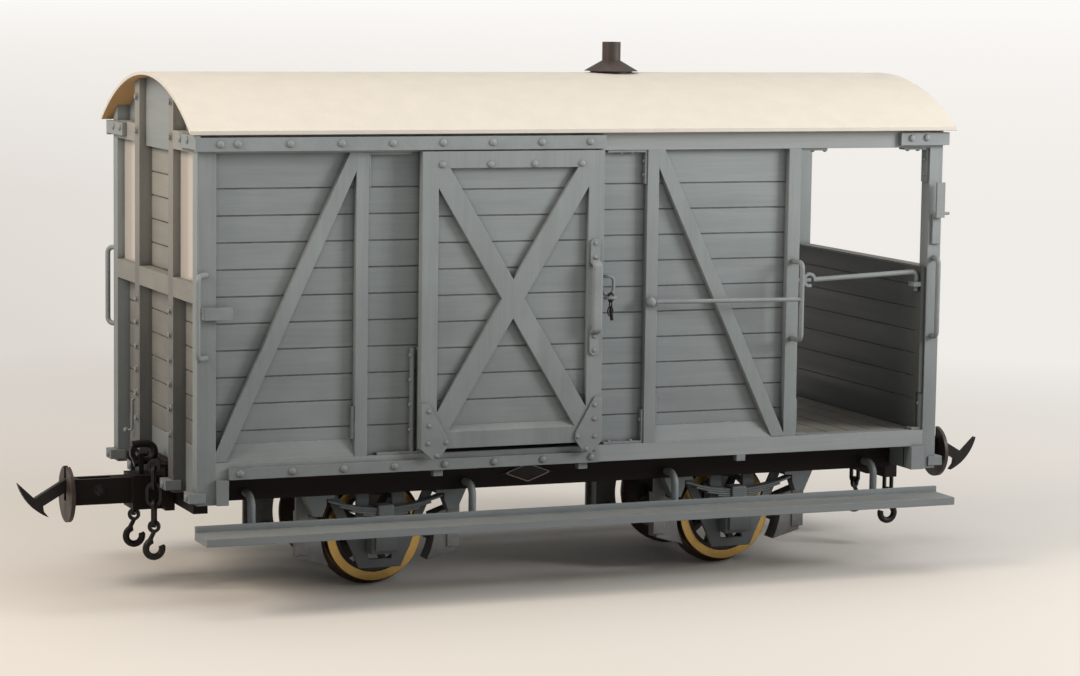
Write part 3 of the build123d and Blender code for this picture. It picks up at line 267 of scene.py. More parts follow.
def build_crevice_shade():
    group = Group("crevice_grime", [("Reach", "Float", 1.6 * MM)], [("Grime", "Float")])
    # Painted shade where surfaces close in on each other.
    hidden = group.node("ShaderNodeAmbientOcclusion", {"samples": 6}, Distance=group["Reach"]).outputs["AO"]
    shut = group.ramp(hidden, SHUT_IN, OPEN, start=1.0, end=0.0)
    cloud = group.ramp(group.noise(group.place(), 160.0), 0.3, 0.7, start=0.45)
    return group.put(Grime=group.maths("MULTIPLY", shut, cloud, True))


CREVICE_SHADE = build_crevice_shade()

# %% [markdown]
# Settled dust lies on faces that look up, in an uneven film.

# %% Dust group
TILT_BEGINS, TILT_FULL = 0.3, 0.95


def build_dust():
    group = Group("settled_dust", [("Amount", "Float", 0.5)], [("Dust", "Float")])
    cloud = group.noise(group.place(), 220.0, detail=5.0, roughness=0.65)
    film = group.ramp(cloud, 0.3, 0.75, start=0.35)
    upward = group.ramp(group.split(group.facing())["Z"], TILT_BEGINS, TILT_FULL)
    dust = group.maths("MULTIPLY", upward, film)
    return group.put(Dust=group.maths("MULTIPLY", dust, group["Amount"], True))


DUST_FILM = build_dust()

# %% [markdown]
# Darker below. Every finish gets darker towards the bottom. The mask depends on the height alone, broken
# up by a cloud noise, and each finish says up to which height it fades.

# %% Darker below group
CLOUD_REACH = 12 * MM


def build_darker_below():
    group = Group("road_dirt", [("Foot", "Float", 0.03), ("Top", "Float", 0.11), ("Amount", "Float", 0.3)],
                  [("Dirt", "Float")])
    place = group.place()
    cloud = group.ramp(group.noise(place, 60.0, roughness=0.6), 0.3, 0.7, -CLOUD_REACH, CLOUD_REACH)
    blurred = group.maths("ADD", group.split(place)["Z"], cloud)
    span = group.maths("SUBTRACT", group["Top"], group["Foot"])
    share = group.maths("DIVIDE", group.maths("SUBTRACT", group["Top"], blurred), span, True)
    return group.put(Dirt=group.maths("MULTIPLY", share, group["Amount"], True))


DARKER_BELOW = build_darker_below()

# %% [markdown]
# Grain. Wood is a noise stretched along the plank. The stretch is an input, so one group serves planks
# that run along the van, posts that stand, and boards that cross it.

# %% Grain group
STREAK_FINENESS = 190.0


def build_grain():
    group = Group("wood_grain", [("Stretch", "Vector", (0.06, 1.0, 1.0)), ("Fineness", "Float", 1300.0)],
                  [("Grain", "Float"), ("Streak", "Float")])
    drawn = group.node("ShaderNodeVectorMath", {"operation": "MULTIPLY"}, _0=group.place(),
                       _1=group["Stretch"])
    return group.put(Grain=group.noise(drawn, group["Fineness"], detail=5.0, roughness=0.6),
                     Streak=group.noise(drawn, STREAK_FINENESS, detail=3.0, roughness=0.5))


GRAIN = build_grain()

# %% [markdown]
# A finish. Every painted surface is built the same way: a base colour with slow changes of tone,
# painted shade in the corners, pale rubbed edges and a film of dust, then grain and edge rounding as relief.
# The function below places the groups in a new material, and its arguments are the finish's recipe.

# %% Painted finishes
ALONG_VAN = (0.05, 1.0, 1.0)
UPRIGHT = (1.0, 1.0, 0.05)
ACROSS_VAN = (1.0, 0.05, 1.0)
NO_GRAIN = (1.0, 1.0, 1.0)
EDGE_RADIUS = 0.22 * MM
MOST_GRAIN = 0.12


def new_material(name):
    """A new material, its tree and its shader."""
    material = bpy.data.materials.new(name)
    material.use_nodes = True
    return material, Tree(material.node_tree), material.node_tree.nodes["Principled BSDF"]


def finish_material(name, base, worn=None, grime=VAN_GRIME_AND_SHADE, dust=DUST, stretch=NO_GRAIN, fineness=1300.0,
                    tone=0.06, wear=0.6, dirt=0.8, dusty=0.25, rough=(0.45, 0.62), metal=0.0,
                    relief=0.02, low_darkening=0.46, darkening_top=0.105, shine=0.5):
    """A finish from its colours and from how much there is of each effect. The relief is in millimetres."""
    material, paint, shader = new_material(name)
    edges = paint.use(EDGES, Radius=EDGE_RADIUS)
    grain = paint.use(GRAIN, Stretch=stretch, Fineness=fineness)
    pale = tuple(min(1.0, v * (1 + tone)) for v in base[:3]) + (1.0,)
    deep = tuple(v * (1 - tone) for v in base[:3]) + (1.0,)
    colour = paint.mix(paint.ramp(grain["Streak"], 0.35, 0.65), deep, pale)
    colour = paint.mix(paint.ramp(grain["Grain"], 0.3, 0.7, end=MOST_GRAIN), colour, grime)
    # Darker towards the bottom.
    colour = paint.mix(paint.use(DARKER_BELOW, Amount=low_darkening, Top=darkening_top)["Dirt"], colour, grime)
    # Painted shade: corners and crevices darken towards the dark colour.
    colour = paint.mix(paint.maths("MULTIPLY", paint.use(CREVICE_SHADE)["Grime"], dirt), colour, grime)
    colour = paint.mix(paint.maths("MULTIPLY", edges["Edge"], wear), colour, worn or pale)
    colour = paint.mix(paint.use(DUST_FILM, Amount=dusty)["Dust"], colour, dust)
    bump = paint.node("ShaderNodeBump", None, Strength=1.0, Distance=relief * MM, Height=grain["Grain"],
                      Normal=edges["Rounded"])
    paint.fill(shader, Base_Color=colour, Roughness=paint.ramp(grain["Streak"], 0.3, 0.7, *rough),
               Metallic=metal, Specular_IOR_Level=shine, Normal=bump)
    return material


print("helpers: new_material and finish_material")

# %% [markdown]
# The paints. The van is one grey all over. Its rails take a paler copy, painted light, its ends warmer
# copies, painted warm light, and its linings a dark copy, painted shade. The grain turns with each timber.
# The ironwork is painted too, with no grain, and the roof is cream.

# %% Paints
paint_long = finish_material("van_grey_long_grain", VAN_GREY, VAN_GREY_WORN, stretch=ALONG_VAN)
# The rails' paler grey is painted light.
paint_rails_light = finish_material("van_grey_main_rails_painted_light", screen(163, 170, 171), VAN_GREY_WORN, stretch=ALONG_VAN,
                              low_darkening=0.34)
paint_upright = finish_material("van_grey_upright_grain", VAN_GREY, VAN_GREY_WORN, stretch=UPRIGHT)
paint_across = finish_material("van_grey_cross_grain", VAN_GREY, VAN_GREY_WORN, stretch=ACROSS_VAN)
# The ends' warmer greys are painted warm light, and they darken strongly towards the bottom.
paint_end_warm_light = finish_material("van_grey_end_boards_painted_warm_light", screen(165, 164, 157), VAN_GREY_WORN, screen(58, 60, 62),
                            stretch=ACROSS_VAN, low_darkening=0.76, darkening_top=0.116)
paint_end_posts_warm_light = finish_material("van_grey_end_posts_painted_warm_light", screen(152, 151, 145), VAN_GREY_WORN,
                                  screen(60, 64, 68), stretch=UPRIGHT, low_darkening=0.88, darkening_top=0.118)
# The lining's dark grey is painted shade.
paint_lining_shade = finish_material("van_grey_lining_painted_shade", screen(78, 81, 79), screen(112, 114, 110),
                               screen(40, 42, 42), stretch=ACROSS_VAN, low_darkening=0.3, dirt=0.9)
paint_iron = finish_material("van_grey_ironwork", VAN_GREY, VAN_GREY_WORN, relief=0.012, fineness=2200.0)
roof_paint = finish_material("roof_cream", ROOF_CREAM, grime=screen(196, 186, 166),
                             dust=screen(226, 218, 200), tone=0.025, wear=0.2, dirt=0.3, relief=0.006,
                             rough=(0.5, 0.62))
print("materials so far:", len(bpy.data.materials))

# %% [markdown]
# The other finishes. The underframe is dark brown timber, the running gear grey, the couplings and the stove
# pipe blackened iron. Only the tyres shine. The verandah's floor is worn boards.

# %% Underframe, iron, brass and boards
underframe = finish_material("underframe_brown", UNDERFRAME_BROWN, screen(70, 58, 52), screen(18, 15, 15),
                             screen(70, 62, 56), stretch=ALONG_VAN, wear=0.4, low_darkening=0.2, shine=0.15)
running_grey = finish_material("running_gear_grey", RUNNING_GREY, screen(126, 132, 136), screen(40, 38, 38),
                               screen(110, 100, 88), fineness=1800.0, wear=0.5, low_darkening=0.15)
shoe_grey = finish_material("brake_shoe_grey", SHOE_GREY, screen(176, 176, 174), screen(60, 58, 58),
                            screen(130, 124, 116), tone=0.25, relief=0.05, fineness=1500.0, wear=0.7,
                            dirt=0.9, low_darkening=0.1)
black_iron = finish_material("blackened_iron", BLACK_IRON, screen(96, 88, 84), screen(18, 17, 18),
                             screen(96, 80, 66), relief=0.03, fineness=1500.0, wear=0.55, dusty=0.3,
                             rough=(0.34, 0.55), metal=0.55, low_darkening=0.1)
buffer_iron = finish_material("buffer_iron", screen(54, 43, 38), screen(108, 90, 80), screen(34, 26, 24),
                              screen(120, 100, 86), relief=0.03, fineness=1500.0, dusty=0.4,
                              rough=(0.4, 0.6), low_darkening=0.1)
stove_iron = finish_material("stove_iron", screen(64, 53, 49), screen(110, 92, 84), screen(28, 24, 23),
                             screen(96, 84, 76), relief=0.03, fineness=1500.0, dusty=0.3, low_darkening=0.0)
wheel_black = finish_material("wheel_black", screen(44, 42, 44), screen(90, 86, 82), screen(20, 19, 20),
                              screen(90, 78, 66), rough=(0.4, 0.6), low_darkening=0.1)
brass = finish_material("brass_tyre", BRASS, screen(226, 200, 140), screen(70, 52, 34), screen(150, 126, 88),
                        relief=0.008, fineness=2600.0, tone=0.12, rough=(0.24, 0.4), metal=1.0, dusty=0.1,
                        low_darkening=0.1)
floor_boards = finish_material("floor_boards", screen(132, 133, 128), screen(150, 146, 136),
                               screen(52, 48, 44), stretch=ACROSS_VAN, relief=0.06, wear=0.7, dusty=0.5)
print("materials now:", len(bpy.data.materials))

# %% [markdown]
# The roof's underside is bare plywood. The roof is one sheet with one material, so the material itself
# looks which way each face points: faces that look down take the wood colour.

# %% Roof underside
LOOKS_DOWN, LOOKS_RIGHT_DOWN = -0.2, -0.3
VENEER_SHADE = 0.8


def opened(material):
    """A finished material's tree, its shader, and the socket that its colour comes from."""
    shader = material.node_tree.nodes["Principled BSDF"]
    return Tree(material.node_tree), shader, shader.inputs["Base Color"].links[0].from_socket


def add_bare_underside(material, wood):
    tree, shader, painted = opened(material)
    below = tree.ramp(tree.split(tree.facing())["Z"], LOOKS_DOWN, LOOKS_RIGHT_DOWN)
    grain = tree.use(GRAIN, Stretch=ALONG_VAN, Fineness=700.0)["Grain"]
    veneer = tree.mix(grain, tuple(v * VENEER_SHADE for v in wood[:3]) + (1.0,), wood)
    tree.fill(shader, Base_Color=tree.mix(below, painted, veneer))


add_bare_underside(roof_paint, BARE_PLY)
print("roof nodes:", len(roof_paint.node_tree.nodes))

# %% [markdown]
# The tyres are bright on their outer faces only. The treads, the flanges and the backs are dark and rusty.
# The material finds the bright ring by two tests: the face looks away from the van's middle, and its distance
# from the axle is less than the tread's radius.

# %% Dark treads
TYRE_FACE_RADIUS = 12.55 * MM
RING_BLUR = 0.1 * MM
TREAD_BROWN = screen(58, 40, 32)
TREAD_METAL = 0.2


def build_bright_ring(axle_x, axle_z):
    group = Group("bright_ring", [], [("Ring", "Float")])
    place = group.split(group.place())
    along = group.maths("SUBTRACT", group.maths("ABSOLUTE", place["X"]), axle_x)
    above = group.maths("SUBTRACT", place["Z"], axle_z)
    squares = [group.maths("POWER", group.maths("ABSOLUTE", leg), 2.0) for leg in (along, above)]
    reach = group.maths("SQRT", group.maths("ADD", *squares))
    outward = group.maths("MULTIPLY", group.split(group.facing())["Y"], group.maths("SIGN", place["Y"]))
    inside = group.ramp(reach, TYRE_FACE_RADIUS, TYRE_FACE_RADIUS + RING_BLUR, 1.0, 0.0)
    return group.put(Ring=group.maths("MULTIPLY", inside, group.ramp(outward, 0.75, 0.9)))


def darken_outside_ring(material, ring_group, dark):
    tree, shader, bright = opened(material)
    ring = tree.use(ring_group)["Ring"]
    metal = tree.ramp(ring, 0.0, 1.0, start=TREAD_METAL)
    tree.fill(shader, Base_Color=tree.mix(ring, dark, bright), Metallic=metal)


tyre_low, tyre_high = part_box("right_tyres")
axle_x, axle_z = (tyre_low.x + tyre_high.x) / 2, (tyre_low.z + tyre_high.z) / 2
darken_outside_ring(brass, build_bright_ring(abs(axle_x), axle_z), TREAD_BROWN)
print("axles at X in mm:", round(abs(axle_x) / MM, 1), "and Z in mm:", round(axle_z / MM, 1))

# %% [markdown]
# Window glass. The panes at the closed end are clear sheet with a slight milky film.

# %% Glass
window_glass, glass_tree, glass_shader = new_material("window_glass")
glass_tree.fill(glass_shader, Base_Color=screen(214, 208, 200), Roughness=0.12, Alpha=0.85)
print("glass lets through", round(1 - glass_shader.inputs["Alpha"].default_value, 2))

# %% [markdown]
# Which finish goes where. Timber that runs along the van takes the long grain, posts take the upright
# grain, and so on. Each CAD node has one slot, and the material goes straight into it.

# %% Dress the nodes
FINISHES = {
    paint_rails_light: ["sills", "cantrails"],
    paint_long: ["side_boards", "weather_fillets", "footboards"],
    paint_upright: ["corner_posts", "side_posts", "side_braces", "partition_panels", "partition_door"],
    paint_end_posts_warm_light: ["end_posts"],
    paint_end_warm_light: ["end_boards", "end_rails", "headstocks"],
    paint_across: ["gables", "partition_head"],
    paint_iron: ["door_tracks", "door_rails", "door_stops", "corner_knees", "corner_straps", "handrails",
                 "gate_bars", "lamp_irons", "sill_cleats", "footboard_hangers", "post_feet"],
    floor_boards: ["floor"],
    roof_paint: ["roof"],
    underframe: ["solebars", "cross_members", "coupling_plates", "drawbars"],
    running_grey: ["axleguards", "axleboxes", "leaf_springs", "spring_brackets", "brake_beams"],
    shoe_grey: ["brake_blocks"],
    buffer_iron: ["buffer_discs"],
    stove_iron: ["chimney"],
    black_iron: ["side_chains", "shackles", "blank_plates", "brake_column", "left_chopper",
                 "right_chopper"],
    wheel_black: ["left_wheelset", "right_wheelset"],
    brass: ["left_tyres", "right_tyres"],
    window_glass: ["end_windows"],
}
for side in ("near", "far"):
    FINISHES[paint_long].append(f"{side}_door_boards")
    FINISHES[paint_upright].append(f"{side}_door_frame")
    FINISHES[paint_iron].append(f"{side}_door_irons")

for material, names in FINISHES.items():
    for name in names:
        mesh = nodes[name].data
        mesh.materials.clear()
        mesh.materials.append(material)
undressed = set(nodes) - {name for names in FINISHES.values() for name in names}
print("nodes without a finish:", sorted(undressed))

# %% [markdown]
# Small pieces: bolt heads, rivets, the latch with its chain, a thin border on each blank plate, and a lever
# at the closed end. The heads repeat more than 150 times, so a Geometry Nodes tree makes them. It takes bare
# points, each with the direction that it faces, and stands one head on every point.

# %% A helper for Geometry Nodes


class Growth(Group):
    """A Geometry Nodes tree: a seed mesh and named sizes go in, and a mesh with its finish comes out."""

    def __init__(self, name, inputs):
        super().__init__(name, [("Seed", "Geometry"), *inputs, ("Finish", "Material")],
                         [("Mesh", "Geometry")], "GeometryNodeTree")

    def stand(self, points, shape, turn):
        """One copy of a shape on every point."""
        return self.node("GeometryNodeInstanceOnPoints", None, Points=points, Instance=shape, Rotation=turn)

    def stand_on_seed(self, shape):
        """One copy of a shape on every seed point, turned the way that the point faces."""
        facing = self.node("GeometryNodeInputNamedAttribute", {"data_type": "FLOAT_VECTOR"}, Name="facing")
        turn = self.node("FunctionNodeAlignRotationToVector", {"axis": "Z"}, Vector=facing)
        return self.stand(self["Seed"], shape, turn)

    def spin(self, copies, angle):
        """Turn every copy about its own Z."""
        turn = self.node("FunctionNodeEulerToRotation", None,
                         Euler=self.node("ShaderNodeCombineXYZ", None, Z=angle))
        return self.node("GeometryNodeRotateInstances", None, Instances=copies, Rotation=turn)

    def end(self, copies, smooth=True):
        """Make the copies real, shade them and give them their finish."""
        real = self.node("GeometryNodeRealizeInstances", None, Geometry=copies)
        shaded = self.node("GeometryNodeSetShadeSmooth", None, Geometry=real, Shade_Smooth=smooth)
        return self.put(Mesh=self.node("GeometryNodeSetMaterial", None, Geometry=shaded,
                                       Material=self["Finish"]))


print("helper: Growth")

# %% [markdown]
# A finished piece is a plain mesh. It rides on a body of the van, so that it moves with it. Most pieces are
# painted iron on the van's body.

# %% Helpers that place pieces
BODY, BODY_IRON = "van_body", "painted_fittings"


def plain_mesh(thing):
    """The finished mesh of an object that has a modifier or a curve. The object itself goes."""
    mesh = bpy.data.meshes.new_from_object(thing.evaluated_get(bpy.context.evaluated_depsgraph_get()))
    bpy.data.objects.remove(thing)
    return mesh


def place_piece(name, mesh, body=BODY):
    """A finished mesh as a piece of the van, on its body."""
    mesh.name = name
    piece = add_object(name, mesh)
    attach(piece, body)
    return piece


def grow(name, tree, seed_mesh, finish=paint_iron, slot=BODY_IRON, body=BODY, **sizes):
    """Run a tree on a seed mesh, with its sizes in millimetres, and keep the result as one plain piece."""
    seed = add_object(name + "_seed", seed_mesh)
    modifier = seed.modifiers.new("growth", "NODES")
    modifier.node_group = tree
    values = {label: size * MM for label, size in sizes.items()}
    values["Finish"] = finish
    for item in tree.interface.items_tree:
        if item.in_out == "INPUT" and item.name in values:
            modifier[item.identifier] = values[item.name]
    return place_piece(name, plain_mesh(seed), body)


print("helpers: plain_mesh, place_piece and grow")

# %% [markdown]
# The round heads are the caps of small balls, and the nuts are six-sided with a washer under them. Each nut
# is turned by its own random angle. The seed is fixed, so the same nuts stand the same way every time.

# %% Trees for round heads and for nuts
WASHER_DEPTH = 0.3 * MM
NUT_SEED = 7


def build_round_heads():
    growth = Growth("round_heads", [("Radius", "Float", 0.9 * MM), ("Height", "Float", 0.5 * MM)])
    ball = growth.node("GeometryNodeMeshUVSphere", None, Segments=14, Rings=8, Radius=growth["Radius"])
    flat = growth.node("ShaderNodeCombineXYZ", None, X=1.0, Y=1.0,
                       Z=growth.maths("DIVIDE", growth["Height"], growth["Radius"]))
    cap = growth.node("GeometryNodeTransform", None, Geometry=ball, Scale=flat)
    return growth.end(growth.stand_on_seed(cap))


def build_nuts():
    growth = Growth("nuts", [("Radius", "Float", 0.8 * MM), ("Height", "Float", 0.6 * MM),
                             ("Washer", "Float", 1.15 * MM)])
    nut = growth.node("GeometryNodeMeshCylinder", None, Vertices=6, Radius=growth["Radius"],
                      Depth=growth["Height"])
    lift = growth.node("ShaderNodeCombineXYZ", None, Z=growth.maths("MULTIPLY", growth["Height"], 0.5))
    raised = growth.node("GeometryNodeTransform", None, Geometry=nut, Translation=lift)
    washer = growth.node("GeometryNodeMeshCylinder", None, Vertices=20, Radius=growth["Washer"],
                         Depth=WASHER_DEPTH)
    both = growth.node("GeometryNodeJoinGeometry")
    for part in (raised, washer):
        growth.fill(both, _0=part)
    chance = growth.node("FunctionNodeRandomValue", {"data_type": "FLOAT"}, _3=math.tau, Seed=NUT_SEED)
    return growth.end(growth.spin(growth.stand_on_seed(both), chance.outputs[1]), smooth=False)


ROUND_HEADS = build_round_heads()
NUTS = build_nuts()

# %% [markdown]
# The places of the heads, in millimetres, as measured on the near side of the van. The far side and the
# other end get mirrored copies. Each row is a place and the direction that the head faces.

# %% Rows of places
NEAR, LEFT, RIGHT, UP, DOWN = (0, -1, 0), (-1, 0, 0), (1, 0, 0), (0, 0, 1), (0, 0, -1)


def row(count, start, step, y, z, facing=NEAR):
    return [((start + step * index, y, z), facing) for index in range(count)]


def mirrored(rows, axis):
    """The rows and their mirror images, with the places and the directions flipped along one axis."""
    flip = [-1 if index == axis else 1 for index in range(3)]
    return rows + [(tuple(v * f for v, f in zip(place, flip)), tuple(v * f for v, f in zip(facing, flip)))
                   for place, facing in rows]


def seed_points(name, rows):
    mesh = bpy.data.meshes.new(name)
    mesh.from_pydata([Vector(place) * MM for place, facing in rows], [], [])
    facings = mesh.attributes.new("facing", "FLOAT_VECTOR", "POINT")
    facings.data.foreach_set("vector", [float(v) for place, facing in rows for v in facing])
    return mesh


print("helpers: row, mirrored and seed_points")

# %% Places of the heads
TRACK_FACE_Y, SLIDE_FACE_Y, STRAP_FACE_Y, DOOR_FACE_Y = -41.3, -39.95, -39.95, -41.45
DOOR_PLATE_Y = -41.95
track_heads = row(1, -95.1, 0, TRACK_FACE_Y, 112.3) + row(8, -90.8, 12.9, TRACK_FACE_Y, 112.3)
slide_heads = row(8, -89.6, 13.0, SLIDE_FACE_Y, 33.5)
strap_heads = [((90.1, STRAP_FACE_Y, 112.5), NEAR), ((94.5, STRAP_FACE_Y, 112.6), NEAR),
               ((101.2, -27.9, 112.6), RIGHT), ((101.2, -34.1, 112.6), RIGHT)]
end_heads = [((-101.2, -27.9, 113.0), LEFT), ((-101.2, -34.1, 113.0), LEFT)]
foot_heads = [((-102.0, y, 27.9), LEFT) for y in (-36.75, -15.5)]
van_heads = mirrored(track_heads + slide_heads + strap_heads + end_heads + mirrored(foot_heads, 0), 1)
post_nuts = [((-100.0, -15.5, z), LEFT) for z in (40.1, 46.5, 52.5, 58.4, 64.6, 70.5, 112.8, 121.3)]
verandah_nuts = [((-x, y, z), RIGHT) for (x, y, z), facing in post_nuts[:6]]
van_nuts = mirrored(post_nuts + verandah_nuts, 1)
knee_heads = mirrored(
    [((15.65, -37.6, z), LEFT) for z in (107.2, 103.7, 42.0)]
    + [((x, -37.6, 109.4), DOWN) for x in (9.3, 12.3)]
    + [((x, -37.0, 109.4), DOWN) for x in (63.0, 66.5, 90.5, 93.5)]
    + [((59.6, -37.0, z), RIGHT) for z in (103.0, 107.0, 43.0)]
    + [((-45.9, -37.6, z), LEFT) for z in (60.4, 54.3, 48.2, 42.0)]
    + [((x, -37.6, 36.8), UP) for x in (7.1, 13.1)]
    + [((95.65, -37.0, z), LEFT) for z in (103.0, 107.0, 43.0)], 1)
drawbar_nuts = mirrored(mirrored([((-114.6, -2.6, 25.0), NEAR)], 1), 0)
BLACKENED = (black_iron, "blackened_iron")

grow("van_bolt_heads", ROUND_HEADS, seed_points("van_bolt_points", van_heads), Radius=0.95, Height=0.6)
grow("knee_rivets", ROUND_HEADS, seed_points("knee_rivet_points", knee_heads), Radius=0.6, Height=0.45)
grow("post_nuts", NUTS, seed_points("post_nut_points", van_nuts), Radius=0.75, Height=0.65, Washer=1.05)
grow("drawbar_nuts", NUTS, seed_points("drawbar_nut_points", drawbar_nuts), *BLACKENED,
     Radius=1.0, Height=0.8, Washer=1.4)
print("round heads:", len(van_heads), "rivets:", len(knee_heads), "nuts:", len(van_nuts + drawbar_nuts))

# %% [markdown]
# The doors have heads of their own, which slide with them: four bolts along the top rail, five rivets on
# each guide plate and two at each end of the grab handle.

# %% Heads on the doors
DOOR_LEFT, DOOR_RIGHT = -44.5, 3.35
SIDES = (("near", 1), ("far", -1))
plate_spots = [(1.95, 46.9), (2.05, 43.4), (1.85, 39.0), (6.55, 39.1), (4.15, 35.9)]
door_bolts = [((x, DOOR_FACE_Y, 107.0), NEAR) for x in (-39.4, -26.9, -15.3, -2.8)]
door_rivets = [((x, DOOR_PLATE_Y, z), NEAR) for inset, z in plate_spots
               for x in (DOOR_LEFT + inset, DOOR_RIGHT - inset)]
door_rivets += [((1.0, DOOR_PLATE_Y, z), NEAR) for z in (87.2, 83.7, 64.1, 60.6)]
for side, sign in SIDES:
    for label, rows, radius, height in (("door_bolts", door_bolts, 0.9, 0.55),
                                        ("door_rivets", door_rivets, 0.6, 0.4)):
        turned = [((x, y * sign, z), (0, -sign, 0)) for (x, y, z), facing in rows]
        grow(f"{side}_{label}", ROUND_HEADS, seed_points(f"{side}_{label}_points", turned),
             body=f"{side}_sliding_door", Radius=radius, Height=height)
print("heads on each door:", len(door_bolts) + len(door_rivets))

# %% [markdown]
# The latch beside the door is a staple with an eye under it, and a short chain that holds a pin. A chain is
# the same link again and again, so a second tree takes a line, sets a link at every step along it, and gives
# every other one a quarter turn.

# %% Tree for a chain of links


def build_chain():
    growth = Growth("link_chain", [("Pitch", "Float", 1.6 * MM), ("Length", "Float", 2.3 * MM),
                                   ("Width", "Float", 1.4 * MM), ("Wire", "Float", 0.36 * MM)])
    half_width, thin = (growth.maths("MULTIPLY", growth[label], 0.5) for label in ("Width", "Wire"))
    ring = growth.node("GeometryNodeCurvePrimitiveCircle", None, Resolution=20, Radius=half_width)
    stretch = growth.node("ShaderNodeCombineXYZ", None, X=1.0, Z=1.0,
                          Y=growth.maths("DIVIDE", growth["Length"], growth["Width"]))
    oval = growth.node("GeometryNodeTransform", None, Geometry=ring, Scale=stretch,
                       Rotation=(math.pi / 2, 0, 0))
    profile = growth.node("GeometryNodeCurvePrimitiveCircle", None, Resolution=8, Radius=thin)
    link = growth.node("GeometryNodeCurveToMesh", None, Curve=oval, Profile_Curve=profile)
    line = growth.node("GeometryNodeMeshToCurve", None, Mesh=growth["Seed"])
    steps = growth.node("GeometryNodeCurveToPoints", {"mode": "LENGTH"}, Curve=line, Length=growth["Pitch"])
    stood = growth.stand(steps.outputs["Points"], link, steps.outputs["Rotation"])
    odd = growth.maths("MODULO", growth.node("GeometryNodeInputIndex"), 2.0)
    return growth.end(growth.spin(stood, growth.maths("MULTIPLY", odd, math.pi / 2)))


LINK_CHAIN = build_chain()

# %% [markdown]
# The staple, the eye and the pin are bent wires. A wire is a curve with a few points and a round thickness.

# %% Helpers for lines and wires


def seed_line(name, points):
    mesh = bpy.data.meshes.new(name)
    steps = [(n, n + 1) for n in range(len(points) - 1)]
    mesh.from_pydata([Vector(point) * MM for point in points], steps, [])
    return mesh


def add_wire(name, points, radius, finish=paint_iron, slot=BODY_IRON, closed=False):
    """A bent wire through the points, smooth between them, as a piece of the van."""
    curve = bpy.data.curves.new(name, "CURVE")
    curve.dimensions = "3D"
    curve.bevel_depth = radius * MM
    curve.bevel_resolution = 3
    curve.resolution_u = 6
    curve.use_fill_caps = True
    spline = curve.splines.new("NURBS")
    spline.points.add(len(points) - 1)
    for point, place in zip(spline.points, points):
        point.co = (*(Vector(place) * MM), 1.0)
    spline.order_u = 3
    spline.use_endpoint_u = not closed
    spline.use_cyclic_u = closed
    curve.materials.append(finish)
    mesh = plain_mesh(add_object(name, curve))
    for polygon in mesh.polygons:
        polygon.use_smooth = True
    return place_piece(name, mesh)


print("helpers: seed_line and add_wire")

# %% Latch
STAPLE = [(4.9, -36.6, 78.4), (4.8, -38.6, 78.6), (7.2, -38.9, 78.5), (7.3, -39.0, 76.3), (7.0, -39.0, 74.2),
          (5.1, -38.8, 73.9), (4.9, -38.6, 74.6), (4.9, -36.6, 74.4)]
EYE = [(5.2, -38.4, 73.1), (7.5, -38.4, 73.1), (7.7, -39.4, 73.2), (7.4, -40.1, 73.3), (5.3, -40.1, 73.3),
       (5.0, -39.3, 73.2)]
PIN = [(6.5, -39.2, 70.3), (6.6, -39.2, 69.4), (6.9, -39.2, 67.6)]
CHAIN_LINE = [(6.4, -39.4, 73.3), (6.4, -39.2, 69.9)]
for side, sign in SIDES:
    staple, eye, pin, line = ([(x, y * sign, z) for x, y, z in points]
                              for points in (STAPLE, EYE, PIN, CHAIN_LINE))
    add_wire(f"{side}_latch_staple", staple, 0.40)
    add_wire(f"{side}_latch_eye", eye, 0.38, closed=True)
    add_wire(f"{side}_latch_pin", pin, 0.42, *BLACKENED)
    grow(f"{side}_latch_chain", LINK_CHAIN, seed_line(f"{side}_latch_line", line), *BLACKENED)
print("latch pieces on each side: 4")

# %% [markdown]
# The plate on each solebar is a blank lozenge with a thin raised border, rubbed bright. The border is a wire
# that follows the plate's edge a little inside it, with its corners rounded by the curve. The lever at the
# closed end is a wire too, with a round knob.

# %% Plate borders and the end lever
BORDER_INSET_X, BORDER_INSET_Z, BORDER_WIRE = 0.9, 0.35, 0.14
LEVER = [(-96.9, 29.4, 42.9), (-97.6, 29.4, 42.9), (-97.6, 29.4, 42.0), (-97.6, 29.4, 36.4),
         (-97.6, 29.4, 35.0), (-98.4, 29.9, 34.8), (-99.0, 30.4, 34.8)]
LEVER_WIRE, KNOB_RADIUS = 0.33, 0.75

plate_low, plate_high = (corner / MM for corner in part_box("blank_plates"))
middle, half_size = (plate_low + plate_high) / 2, (plate_high - plate_low) / 2
reach_x, reach_z = half_size.x - BORDER_INSET_X, half_size.z - BORDER_INSET_Z
bright_line = finish_material("bright_plate_border", screen(186, 172, 152), screen(220, 206, 186),
                              low_darkening=0.1, dusty=0.1, relief=0.006)
for side, y in (("near", plate_low.y), ("far", plate_high.y)):
    tips = [(-reach_x, 0), (0, reach_z), (reach_x, 0), (0, -reach_z)]
    border = []
    for (x0, z0), (x1, z1) in zip(tips, tips[1:] + tips[:1]):
        border += [(middle.x + x0 + (x1 - x0) * share, y, middle.z + z0 + (z1 - z0) * share)
                   for share in (0.04, 0.5, 0.96)]
    add_wire(f"{side}_plate_border", border, BORDER_WIRE, bright_line, closed=True)

add_wire("end_lever", LEVER, LEVER_WIRE)
grow("lever_knob", ROUND_HEADS, seed_points("lever_knob_point", [(LEVER[-1], LEFT)]), Radius=KNOB_RADIUS,
     Height=KNOB_RADIUS)
print("plate borders reach", round(reach_x, 2), "by", round(reach_z, 2), "mm from the middle")

# %% [markdown]
# Timbers and angles that are too thin or too hidden for the solids. The verandah's end is lined with boards
# on the inside, so the headstock there gets a step that lets the floor run under the lining. A narrow angle
# iron holds the post to the left of each door. All are plain blocks.

# %% Blocks
BLOCK_FACES = ((0, 1, 3, 2), (4, 6, 7, 5), (0, 4, 5, 1), (2, 3, 7, 6), (0, 2, 6, 4), (1, 5, 7, 3))


